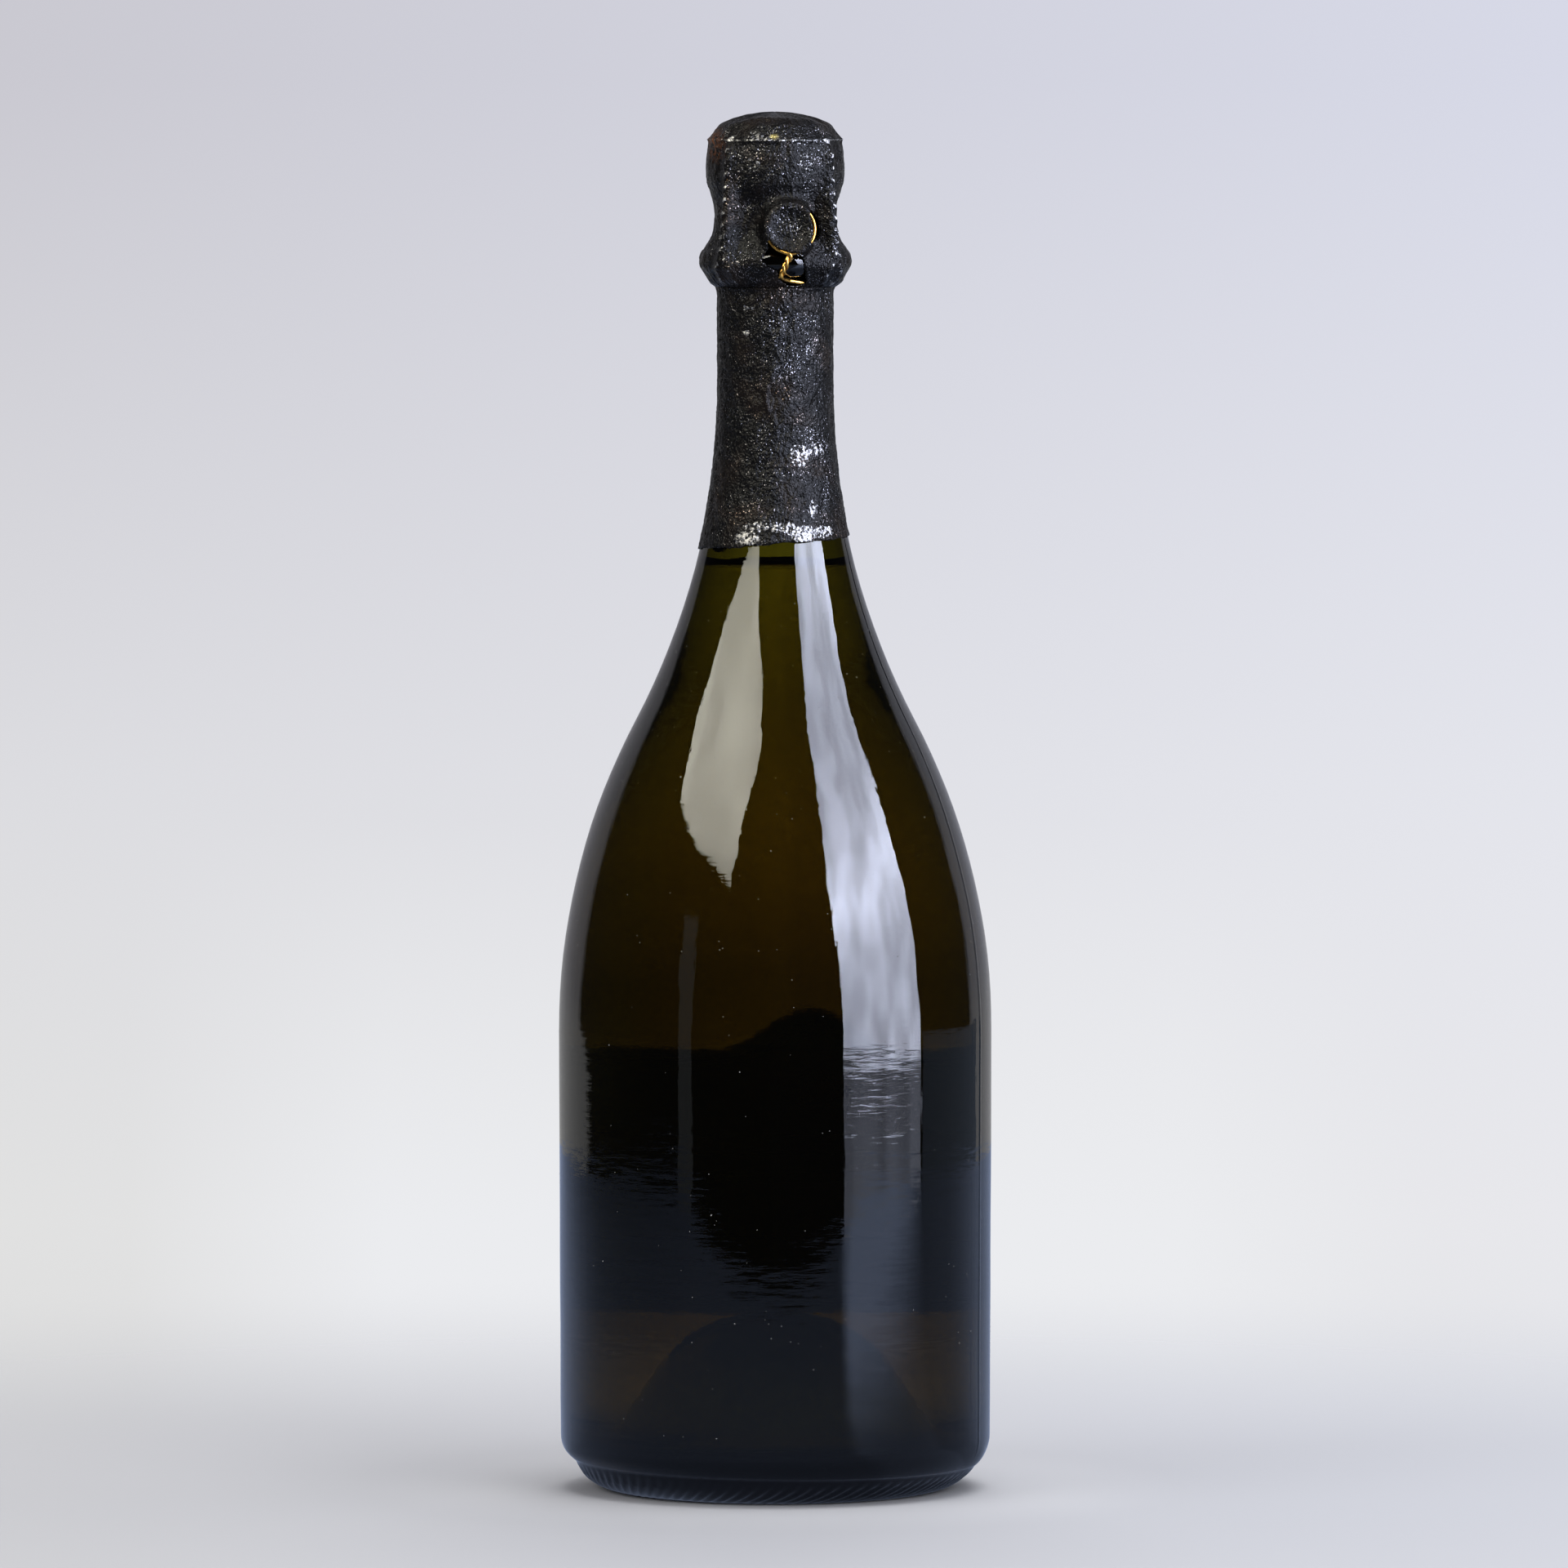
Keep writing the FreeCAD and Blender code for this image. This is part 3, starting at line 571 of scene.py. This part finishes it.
def cage_wires(turn, height, core):
    """Radius out to which the cage's wires hold the foil, and how near the middle of a leg a point is."""
    reach = np.interp(height, [z for _, z in LEG_PATH], [r for r, _ in LEG_PATH])
    shown = smooth(328.5, 331.5, height) * (1 - smooth(370.0, 375.0, height)) * (core > 12)
    split = LEG_SPREAD * (1 - smooth(333, 342, height))
    held, near = core.copy(), np.zeros_like(height)
    for leg in LEGS:
        along = wrap(turn - leg) * np.maximum(core, 17)
        for side in (-1, 1):
            away = along - side * split
            crown = LEG_WIDTH - np.sqrt(np.maximum(LEG_WIDTH ** 2 - away ** 2, 0))
            wire = np.where(np.abs(away) < LEG_WIDTH, reach - crown, 0)
            held = np.maximum(held, core + (wire - core) * shown)
            near = np.maximum(near, np.exp(-(away / 0.75) ** 2) * shown)
    ahead = np.cos(turn)
    plane = 21.9 - 0.12 * (height - EYE_Z)
    off = np.hypot(plane * np.tan(np.where(ahead > 0.4, turn, 0)) - EYE_X, height - EYE_Z)
    off = np.where(ahead > 0.4, off, 99.0)
    loop = np.where(np.abs(off - EYE_R) < 0.8, plane / ahead, 0)
    inside = np.where(off < EYE_R, (plane - 0.75 - 0.4 * smooth(6.2, 3.0, off)) / np.maximum(ahead, 0.4), 0)
    return np.maximum(held, np.maximum(loop, inside)), near, off


def shrink_over(held, core, passes):
    """A skin stretched over what holds it out, mostly round the axis."""
    skin = held.copy()
    for _ in range(passes):
        around = (np.roll(skin, 1, axis=1) + np.roll(skin, -1, axis=1)) / 2
        upright = skin.copy()
        upright[1:-1] = (skin[:-2] + skin[2:]) / 2
        eased = 0.72 * around + 0.28 * upright
        skin = np.where(core > 12, np.maximum(held, eased - 0.004 * (eased - core)), skin)
    return skin


def foil_shape(turn, base_r, base_z, normals):
    """Places of the foil's outer face, with its wear."""
    radius, height = base_r.copy(), base_z.copy()
    near, off = np.zeros_like(radius), np.full_like(radius, 99.0)
    if height.max() > 340:
        held, near, off = cage_wires(turn, height, radius)
        skin = shrink_over(held, radius, 26)
        radius = radius + (skin - radius) * smooth(329.9, 332.0, height)
    x, front = radius * np.sin(turn), np.cos(turn) > 0.1
    folds = 1 - 2 * np.abs(waves(11, turn, height, (2, 16), (5, 30), 10))
    small = 1 - 2 * np.abs(waves(12, turn, height, (12, 44), (2.2, 9), 16))
    fine = waves(13, turn, height, (30, 90), (1.2, 4), 18)
    rough = 0.13 * folds + 0.10 * small + 0.05 * fine
    rough = rough * (1 - 0.5 * (off < 6.5))
    pleats = np.abs(waves(17, turn, height * 0.3, (18, 40), (10, 40), 8))
    rough = rough - 0.22 * pleats * np.exp(-((height - 329.2) / 2.0) ** 2)
    bead = np.cos(TAU * height / BEAD_PITCH + 28 * np.abs(np.sin(turn)))
    rough = rough + 0.3 * bead * near * smooth(334, 342, height) * (1 - smooth(369, 372, height))
    at_ring = np.exp(-((height - RING_Z) / 0.45) ** 2) * (base_r > 15)
    rough = rough + 0.5 * at_ring
    worn = near ** 0.5 * np.clip(0.32 + 0.3 * bead, 0, 1) + 0.56 * at_ring * front
    worn = worn + 0.44 * np.exp(-((off - 6.7) / 0.4) ** 2) * front * (np.sin(turn) < 0.2)
    for places, rise, width, wear in CREASES:
        close = np.exp(-(line_distance(x, height, places) / width) ** 2) * front
        rough = rough + rise * close
        worn = np.maximum(worn, wear * close)
    for spot_x, spot_z, half_x, half_z, strength in WORN_SPOTS:
        away = np.hypot((x - spot_x) / half_x, (height - spot_z) / half_z)
        worn = np.maximum(worn, strength * (1 - smooth(0.6, 1.5, away)) * front)
    if base_z[0, 0] < 300:
        worn = np.maximum(worn, 0.34 * np.exp(-(base_z - base_z[0:1]) / 0.8))
    radius = radius + rough * normals[:, :1]
    height = height + rough * normals[:, 1:]
    rust = np.exp(-(((x + 16.4) / 2.0) ** 2 + ((height - 369.0) / 3.4) ** 2)) * front
    gilt = np.exp(-(((x + 0.3) / 1.1) ** 2 + ((height - 371.2) / 0.5) ** 2) ** 2) * front
    return radius, height, worn, rust, gilt


def tear_distance(x, height):
    return np.minimum.reduce([polygon_distance(x, height, hole) for hole in HOLES])


def foil_piece(name, outline, columns, surface, low_edge=None, pole=False):
    """Part of the foil from its outline, with the torn openings left out and their edges drawn smooth."""
    rows = len(outline)
    turn = np.repeat(np.linspace(0, TAU, columns, endpoint=False)[None, :], rows, 0)
    radius = np.repeat(outline[:, :1], columns, 1)
    height = np.repeat(outline[:, 1:], columns, 1)
    normals = outline_normals(outline)
    if low_edge is not None:
        edge = low_edge(turn[0])
        share = (height - outline[0, 1]) / FOIL_EDGE_REACH
        height = np.where(share < 1, edge + (outline[0, 1] + FOIL_EDGE_REACH - edge) * share, height)
        radius = np.interp(height, outline[:, 1], outline[:, 0])
    radius, height, worn, rust, gilt = foil_shape(turn, radius, height, normals)
    points = place(radius, turn, height)
    x, step = points[..., 0], 0.04
    tear = np.full_like(x, 9.0)
    if pole:
        front = (points[..., 1] < -8) & (height > 327) & (height < 356)
        tear = np.where(front, tear_distance(x, height), 9.0)
        slope_x = (tear_distance(x + step, height) - tear) / step
        slope_z = (tear_distance(x, height + step) - tear) / step
        move = np.where(front & (np.abs(tear) < 0.3), -tear, 0)
        points[..., 0] += move * np.clip(slope_x, -1, 1)
        points[..., 2] += move * np.clip(slope_z, -1, 1)
        worn = np.maximum(worn, 0.5 * np.exp(-(tear / 0.35) ** 2))
    points = points.reshape(-1, 3)
    quads = grid_faces(rows, columns)
    keep = tear.ravel()[quads].mean(axis=1) > 0
    faces = quads[keep].tolist()
    values = {"worn": worn.ravel(), "rust": rust.ravel(), "gilt": gilt.ravel()}
    if pole:
        last = (rows - 1) * columns
        faces = [face for face in faces if max(face) < last]
        points[last] = points[last:].mean(axis=0)
        start = (rows - 2) * columns
        faces += [[start + k, start + (k + 1) % columns, last] for k in range(columns)]
    used = np.unique(np.concatenate([np.asarray(face) for face in faces]))
    where = np.full(len(points), -1)
    where[used] = np.arange(len(used))
    faces = [[int(where[k]) for k in face] for face in faces]
    thing = new_object(name, points[used], faces, surface)
    for key, value in values.items():
        thing.data.attributes.new(key, "FLOAT", "POINT").data.foreach_set("value", value[used].astype(np.float32))
    shell = thing.modifiers.new("thickness", "SOLIDIFY")
    shell.thickness = FOIL_SHEET * MM
    shell.offset = -1
    return thing


def torn_edge(turn):
    """Height of the foil's torn lower edge round the neck."""
    tilt = FOIL_EDGE_Z + 18.6 * math.tan(math.radians(FOIL_EDGE_TILT)) * np.sin(turn)
    bites = 0.4 * waves(21, turn, 0 * turn, (3, 14), (9, 10), 9)
    nicks = 0.12 * waves(22, turn, 0 * turn, (20, 70), (9, 10), 12)
    return tilt + bites + nicks


# ---- label ----
def label_piece(surface):
    """A sheet on the back of the body, its top edge with a peak in the middle, its edges a little loose."""
    slope = (BODY_R - FOOT_R) / (BODY_HEIGHT - HEEL_HEIGHT)
    columns, rows = 221, 60
    across = np.linspace(-LABEL_HALF, LABEL_HALF, columns)[None, :]
    lift = 1 - np.clip(np.abs(across) / LABEL_SHOULDER, 0, 1)
    outward = np.clip((np.abs(across) - LABEL_SHOULDER) / (LABEL_HALF - LABEL_SHOULDER), 0, 1)
    top = LABEL_TOP + LABEL_PEAK * (lift * lift * (3 - 2 * lift)) ** 1.15 + 2 * outward
    share = np.linspace(0, 1, rows)[:, None]
    up = LABEL_LOW + (top - LABEL_LOW) * share
    across = np.repeat(across, rows, 0)
    turn = LABEL_TURN - across / BODY_R
    wall = FOOT_R + slope * (up - HEEL_HEIGHT)
    curl = 0.10 * waves(31, turn, up, (6, 20), (10, 40), 10)
    edge_top = np.full_like(up, 99.0)
    for offset in np.linspace(-14, 14, 57):
        edge_top = np.minimum(edge_top, np.hypot(offset, np.interp(across + offset, across[0], top[0]) - up))
    border = np.minimum.reduce([edge_top, up - LABEL_LOW, LABEL_HALF - np.abs(across)])
    loose = 0.12 * np.exp(-border / 1.2)
    outer = place(wall + 0.3 + loose + 0.3 * np.abs(curl), turn, up).reshape(-1, 3)
    inner = place(wall + 0.1 + 0.6 * loose, turn, up).reshape(-1, 3)
    quads = grid_faces(rows, columns, closed=False)
    count = rows * columns
    faces = quads[:, ::-1].tolist() + (quads + count).tolist()
    loop = ([k for k in range(columns)] + [r * columns + columns - 1 for r in range(1, rows)]
            + [(rows - 1) * columns + k for k in range(columns - 2, -1, -1)]
            + [r * columns for r in range(rows - 2, 0, -1)])
    faces += [[a, b, b + count, a + count] for a, b in zip(loop, loop[1:] + loop[:1])]
    thing = new_object("label", np.vstack([outer, inner]), faces, surface)
    for key, value in (("across", across), ("up", up), ("border", border)):
        both = np.tile(value.ravel(), 2).astype(np.float32)
        thing.data.attributes.new(key, "FLOAT", "POINT").data.foreach_set("value", both)
    return thing


# ---- wire that ties the cage ----
def tie_path():
    """One wire: round the belt from the back, up the twist, round the loop, down the twist and back."""
    belt_right = [place(BELT_R, t, BELT_Z + 0.25 * math.sin(9 * t)) for t in np.radians(np.linspace(176, 14, 120))]
    belt_left = [place(BELT_R, t, BELT_Z) for t in np.radians(np.linspace(-8, -176, 120))]
    low, high = np.array([1.6, -18.6, 332.6]), np.array([4.3, -21.9, 339.2])
    middle = np.array([2.3, -21.6, 335.2])
    share = np.linspace(0, 1, 90)[:, None]
    core = (1 - share) ** 2 * low + 2 * share * (1 - share) * middle + share ** 2 * high
    heading = np.gradient(core, axis=0)
    heading /= np.linalg.norm(heading, axis=1)[:, None]
    side = np.cross(heading, (0, -1, 0))
    side /= np.linalg.norm(side, axis=1)[:, None]
    out = np.cross(side, heading)

    def strand(phase):
        angle = phase + TAU * 1.75 * share
        return core + 0.52 * (np.cos(angle) * side + np.sin(angle) * out)

    circle = np.radians(np.linspace(-62, 242, 130))
    loop = np.column_stack([EYE_X + EYE_R * np.cos(circle),
                            -20.95 + 0.12 * EYE_R * np.sin(circle),
                            EYE_Z + EYE_R * np.sin(circle)])
    first, second = strand(0.0), strand(math.pi)
    places = np.vstack([belt_right, first[2:], loop, second[::-1][:-2], belt_left])
    lengths = np.concatenate([[0], np.cumsum(np.linalg.norm(np.diff(places, axis=0), axis=1))])
    even = np.linspace(0, lengths[-1], int(lengths[-1] / 0.22))
    path = np.column_stack([np.interp(even, lengths, places[:, k]) for k in range(3)])
    for _ in range(10):
        path[1:-1] = path[:-2] / 4 + path[1:-1] / 2 + path[2:] / 4
    return path


def cage_piece(surface):
    """The ring on the cork and the four legs, each of two twisted strands that part below the collar."""
    circle = [place(RING_R, t, RING_Z) for t in np.linspace(0, TAU * 0.998, 140)]
    pieces = [tube("ring", circle, WIRE_R, surface, 8)]
    depths = np.array(LEG_PATH)[1:-2] - (1.25, 0)
    line = rounded(resample(depths[::-1], 0.4), 12)
    travelled = np.concatenate([[0], np.cumsum(np.hypot(*np.diff(line, axis=0).T))])
    apart = LEG_SPREAD * (1 - smooth(333, 342, line[:, 1]))
    twisted = apart < 0.1
    for leg in LEGS:
        for phase in (0, math.pi):
            angle = TAU * travelled / STRAND_PITCH + phase
            shift = STRAND_OFF * np.cos(angle) * twisted + apart * math.cos(phase)
            radius = line[:, 0] + STRAND_OFF * np.sin(angle) * twisted
            path = [place(r, leg + s / r, z) for r, s, z in zip(radius, shift, line[:, 1])]
            pieces.append(tube("leg", path, STRAND_R, surface, 7))
    return join("muselet_cage", pieces)


def join(name, pieces):
    """One object from several that share a material."""
    points, faces = [], []
    for piece in pieces:
        start = len(points)
        points += [vertex.co / MM for vertex in piece.data.vertices]
        faces += [[start + k for k in face.vertices] for face in piece.data.polygons]
        surface = piece.data.materials[0]
        bpy.data.objects.remove(piece)
    return new_object(name, [tuple(point) for point in points], faces, surface)


# ---- dust ----
def dust_piece(surface):
    """Flecks scattered over the outside of the body and the shoulder."""
    rng = np.random.default_rng(5)
    outline = chain(straight((FOOT_R, HEEL_HEIGHT), (BODY_R, BODY_HEIGHT), 30), walls(0, 40))
    normals = outline_normals(outline)
    points, faces = [], []
    for _ in range(SPECKS_OF_DUST):
        pick = rng.integers(1, int(len(outline) * 0.78))
        turn = rng.uniform(0, TAU)
        nr, nz = normals[pick]
        centre = place(outline[pick, 0] + DUST_RISE * nr, turn,
                       outline[pick, 1] + rng.uniform(-1.5, 1.5) + DUST_RISE * nz)
        normal = place(nr, turn, nz)
        side = np.cross(normal, (0, 0, 1))
        side /= np.linalg.norm(side)
        other = np.cross(normal, side)
        size = rng.uniform(0.07, 0.15) * (1 + 0.8 * (rng.random() > 0.95))
        start = len(points)
        angles = np.linspace(0, TAU, 6, endpoint=False)
        reach = size * rng.uniform(0.6, 1.3, 6)
        points += [centre + d * (math.cos(a) * side + math.sin(a) * other) for a, d in zip(angles, reach)]
        points += [centre + 0.05 * normal, centre - 0.05 * normal]
        faces += [[start + k, start + (k + 1) % 6, start + 6] for k in range(6)]
        faces += [[start + (k + 1) % 6, start + k, start + 7] for k in range(6)]
    return new_object("dust", points, faces, surface, smooth_shading=False)


# ---- stage ----
STUDIO_R, STUDIO_Z = 1600.0, 200.0


def glow(name, colour, strength, corners, faces):
    """A panel that only reflections see."""
    made = bpy.data.materials.new(name)
    nodes = Nodes(made)
    shine = nodes.add("ShaderNodeEmission", {"Color": (*colour, 1), "Strength": strength(nodes)})
    nodes.add("ShaderNodeOutputMaterial", {"Surface": shine.outputs[0]})
    thing = new_object(name, corners, faces, made, smooth_shading=False)
    for flag in ("visible_camera", "visible_diffuse", "visible_transmission", "visible_shadow",
                 "visible_volume_scatter"):
        setattr(thing, flag, False)


def on_sphere(azimuth, elevation):
    """A spot on a sphere round the bottle, from the azimuth and elevation in degrees."""
    turn, rise = math.radians(azimuth), math.radians(elevation)
    return place(STUDIO_R * math.cos(rise), turn, STUDIO_R * math.sin(rise)) + np.array([0, 0, STUDIO_Z])


def panel(name, colour, strength, rim):
    """A flat fan from the middle of its rim, whose corners are azimuths and elevations."""
    corners = [on_sphere(*corner) for corner in rim]
    steps = 14
    points = [on_sphere(*np.mean(rim, axis=0))]
    for a, b in zip(corners, corners[1:] + corners[:1]):
        points += [a + (b - a) * k / steps for k in range(steps)]
    total = len(points) - 1
    glow(name, colour, strength, points, [[0, 1 + k, 1 + (k + 1) % total] for k in range(total)])


def lamp(name, where, size, power):
    data = bpy.data.lights.new(name, "AREA")
    data.shape, data.size, data.energy = "DISK", size, power
    thing = bpy.data.objects.new(name, data)
    thing.location = where
    thing.rotation_euler = (Vector((0, 0, 0.12)) - Vector(where)).to_track_quat("-Z", "Y").to_euler()
    thing.visible_glossy = thing.visible_transmission = thing.visible_camera = False
    bpy.context.scene.collection.objects.link(thing)


def srgb(red, green, blue):
    def plain(value):
        value /= 255
        return value / 12.92 if value <= 0.04045 else ((value + 0.055) / 1.055) ** 2.4
    return plain(red), plain(green), plain(blue)


def make_world():
    """A pale backdrop at full strength to the camera. Reflections and what shows through glass see it by direction
    (x, y, z), darker to the sides and behind the camera, as in a studio."""
    world = bpy.data.worlds.new("studio")
    bpy.context.scene.world = world
    nodes = Nodes(world)
    x, y, z = nodes.split("Generated")
    # Painted light and shade on the backdrop: its colour is darker upwards and to the left, and paler in a patch
    # low in the middle behind the bottle.
    rise = nodes.span(z, -0.105, -0.005)
    left = nodes.ramp(rise, (0.0, srgb(221, 221, 221)), (0.14, srgb(225, 225, 225)),
                      (0.45, srgb(220, 220, 224)), (0.94, srgb(202, 201, 209)))
    right = nodes.ramp(rise, (0.0, srgb(228, 229, 233)), (0.14, srgb(232, 232, 236)),
                       (0.45, srgb(228, 229, 236)), (0.94, srgb(215, 217, 231)))
    shown = nodes.mix(nodes.span(x, -0.055, 0.055), left, right)
    middle = nodes.math("MULTIPLY", nodes.span(nodes.math("ABSOLUTE", x, 0.0), 0.028, 0.046, 1.0, 0.0),
                        nodes.span(rise, 0.14, 0.42, 1.0, 0.0))
    shown = nodes.mix(middle, shown, (*srgb(235, 236, 239), 1))
    path = nodes.add("ShaderNodeLightPath").outputs
    fall = nodes.math("MAXIMUM", nodes.span(z, -0.31, -0.13, 1.1, 0.38),
                      nodes.span(z, -0.08, -0.058, 0.3, 1.05))
    seen = nodes.math("MULTIPLY", nodes.span(y, -0.3, 0.5, 0.25, 1.03), fall)
    seen = nodes.math("MULTIPLY", seen, nodes.span(x, -0.4, 0.4, 1.35, 0.7))
    seen = nodes.math("MINIMUM", seen, 1.0)
    below = nodes.math("MAXIMUM", nodes.math("SUBTRACT", -0.06, z), 0.0)
    mirrored = nodes.span(nodes.math("MULTIPLY_ADD", below, 5.0, y), 0.59, 0.65, 0.03, 0.52)
    level = nodes.blend(path["Is Glossy Ray"], 0.6, mirrored)
    level = nodes.blend(path["Is Transmission Ray"], level, seen)
    level = nodes.blend(path["Is Camera Ray"], level, 1.0)
    back = nodes.add("ShaderNodeBackground", {"Color": shown, "Strength": level})
    nodes.add("ShaderNodeOutputWorld", {"Surface": back.outputs[0]})


def make_floor():
    """A pale floor that keeps the shadow and fades into the backdrop. It is a little paler beside the bottle,
    painted light that softens the bottle's contact shadow.
    """
    made, nodes = material("pale_floor")
    x, y, _ = nodes.split("Object")
    away = nodes.length(x, y)
    colour = nodes.mix(nodes.span(x, -0.22, 0.22), (*srgb(193, 193, 194), 1), (*srgb(197, 199, 205), 1))
    # Painted light: the floor is paler within about 0.06 to 0.12 m of the bottle, which weakens its contact shadow.
    colour = nodes.mix(nodes.span(away, 0.06, 0.12, 0.16, 0.0, ease=True), colour, (1, 1, 1, 1))
    cloth = nodes.add("ShaderNodeBsdfDiffuse", {"Color": colour})
    clear = nodes.add("ShaderNodeBsdfTransparent")
    fade = nodes.add("ShaderNodeMixShader", {0: nodes.span(away, 0.12, 0.62, ease=True), 1: cloth.outputs[0],
                                             2: clear.outputs[0]})
    nodes.add("ShaderNodeOutputMaterial", {"Surface": fade.outputs[0]})
    corners = [(-1000, -1000, 0), (1000, -1000, 0), (1000, 1000, 0), (-1000, 1000, 0)]
    floor = new_object("floor", np.array(corners, float) - (0, 0, 0.02), [[0, 1, 2, 3]], made, False)
    floor.visible_glossy = False


def make_stage():
    make_world()
    make_floor()

    def by_height(low, high, weak, strong):
        def strength(nodes):
            return nodes.span(nodes.split("Object")[2], low, high, weak, strong, ease=True)
        return strength

    def cloudy(strength, size, weak, strong):
        def mixed(nodes):
            blur = nodes.span(nodes.noise(size, detail=1.0), 0.35, 0.65, weak, strong)
            return nodes.math("MULTIPLY", strength(nodes), blur)
        return mixed

    def softbox_levels(nodes):
        z = nodes.split("Object")[2]
        off = nodes.math("DIVIDE", nodes.math("SUBTRACT", z, 0.68), 0.2)
        crest = nodes.math("DIVIDE", 1.0, nodes.math("ADD", nodes.math("MULTIPLY", off, off), 1.0))
        lit = nodes.math("MULTIPLY_ADD", crest, 9.2, 6.5)
        return nodes.math("ADD", nodes.math("MULTIPLY", lit, nodes.span(z, 0.0, 0.011, ease=True)), 1.2)

    panel("right_softbox", (0.8, 0.86, 1.08), cloudy(softbox_levels, 260.0, 0.78, 1.22),
          [(38, -22), (84, -22), (80, 20), (77, 62), (46, 62), (33, 47), (31, 25)])
    panel("right_side", (0.62, 0.75, 1.0), lambda nodes: 0.24,
          [(84, -22), (134, -22), (134, -5.5), (84, -5.5)])
    panel("left_stand", (0.9, 0.95, 1.0), by_height(-0.2, 0.6, 0.2, 0.22),
          [(-52, -22), (-44, -22), (-44, 14), (-52, 14)])
    panel("left_softbox", (1.03, 1.0, 0.86), cloudy(by_height(0.78, 1.0, 4.0, 6.8), 400.0, 0.9, 1.2),
          [(-27, 21), (-50, 25), (-70, 30), (-84, 40), (-62, 64), (-10, 60), (-14, 46)])

    def table_shine(nodes):
        x, y, _ = nodes.split("Object")
        forward = nodes.math("MAXIMUM", nodes.math("MULTIPLY", y, -1.0), 0.001)
        ratio = nodes.math("DIVIDE", x, forward)
        bright = nodes.math("MULTIPLY", nodes.span(ratio, 0.62, 0.85, ease=True), nodes.span(ratio, 5, 9, 1, 0))
        bright = nodes.math("MULTIPLY", bright, nodes.span(forward, 0.06, 0.42, 0.05, 1.0, ease=True))
        away = nodes.length(x, y)
        behind = nodes.span(nodes.math("DIVIDE", y, away), 0.15, 0.75, 0.31, 0.5, ease=True)
        level = nodes.math("MULTIPLY_ADD", bright, 1.6, behind)
        level = nodes.math("MULTIPLY", level, nodes.span(x, -0.9, -0.4, 0.55, 1.0))
        return nodes.math("MULTIPLY", level, nodes.span(away, 0.05, 0.09, 0.6, 1.0))

    angles = np.linspace(-180, 180, 120, endpoint=False)
    inner = [place(1.0, math.radians(a), 0.0) for a in angles]
    outer = [place(min(660 / max(math.cos(math.radians(a)), 0.05), 950 + 0.9 * abs(a)), math.radians(a), 0.0)
             for a in angles]
    count = len(angles)
    glow("table_reflection", (0.56, 0.68, 1.0), table_shine, np.vstack([inner, outer]) - (0, 0, 0.1),
         [[k, (k + 1) % count, count + (k + 1) % count, count + k] for k in range(count)])
    lamp("top_lamp", (0.3, -0.1, 1.8), 1.5, 17.0)
    lamp("left_lamp", (-1.4, -0.9, 1.1), 1.4, 7.5)
    lamp("right_lamp", (1.2, -1.45, 0.95), 1.5, 11.0)
    lamp("back_lamp", (0.1, 1.4, 1.1), 1.2, 9.0)

    data = bpy.data.cameras.new("camera")
    data.sensor_width, data.lens = 36.0, 327.0
    data.clip_start, data.clip_end = 0.1, 60.0
    camera = bpy.data.objects.new("camera", data)
    camera.location = (0.0024, -3.9, 0.43)
    camera.rotation_euler = (Vector((0.0024, 0, 0.1935)) - camera.location).to_track_quat("-Z", "Y").to_euler()
    bpy.context.scene.collection.objects.link(camera)
    bpy.context.scene.camera = camera


# ---- everything together ----
def add(thing, slot, *nodes):
    """Puts a piece on the bottle, in place of the CAD nodes named."""
    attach(thing, "root")
    if nodes:
        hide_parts(*nodes)


glass = glass_material()
columns = 720
add(lathe("bottle_glass", glass_outline(), columns, glass, glass_push, glass_lift), "bottle_glass", "glass_bottle")
add(lathe("wine_fill", wine_outline(), 240, wine_material()), "wine", "wine")
foil = foil_material()
neck = chain(sweep(HOLLOW, HOLLOW_R - 0.4, 180 + math.degrees(math.asin((NECK_LOW - 257.4) / HOLLOW_R)), 180, 60),
             [(15.85, 318.0), (15.85, 327.4), (15.95, 329.1), FOIL_JOIN])
head = rounded(resample(np.array(FOIL_ROWS), 0.25), 6)
add(foil_piece("foil_neck", resample(neck, 0.66), 300, foil, torn_edge), "foil", "foil_capsule")
add(foil_piece("foil_head", resample(head, 0.56), 300, foil, pole=True), "foil", "foil_capsule")
add(label_piece(paper_material()), "label_paper", "label")
gilt = wire_material()
add(tube("muselet_tie", tie_path(), WIRE_R, gilt), "wire", "muselet_belt")
add(cage_piece(gilt), "wire", "muselet_frame")
add(dust_piece(dust_material()), "bottle_glass")
for name, made, slot in (("cork", cork_material(), "cork"), ("muselet_cap", cap_material(), "cap_plate")):
    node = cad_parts[name]
    node.data.materials.clear()
    node.data.materials.append(made)
make_stage()
bpy.context.scene.view_settings.view_transform = "Standard"
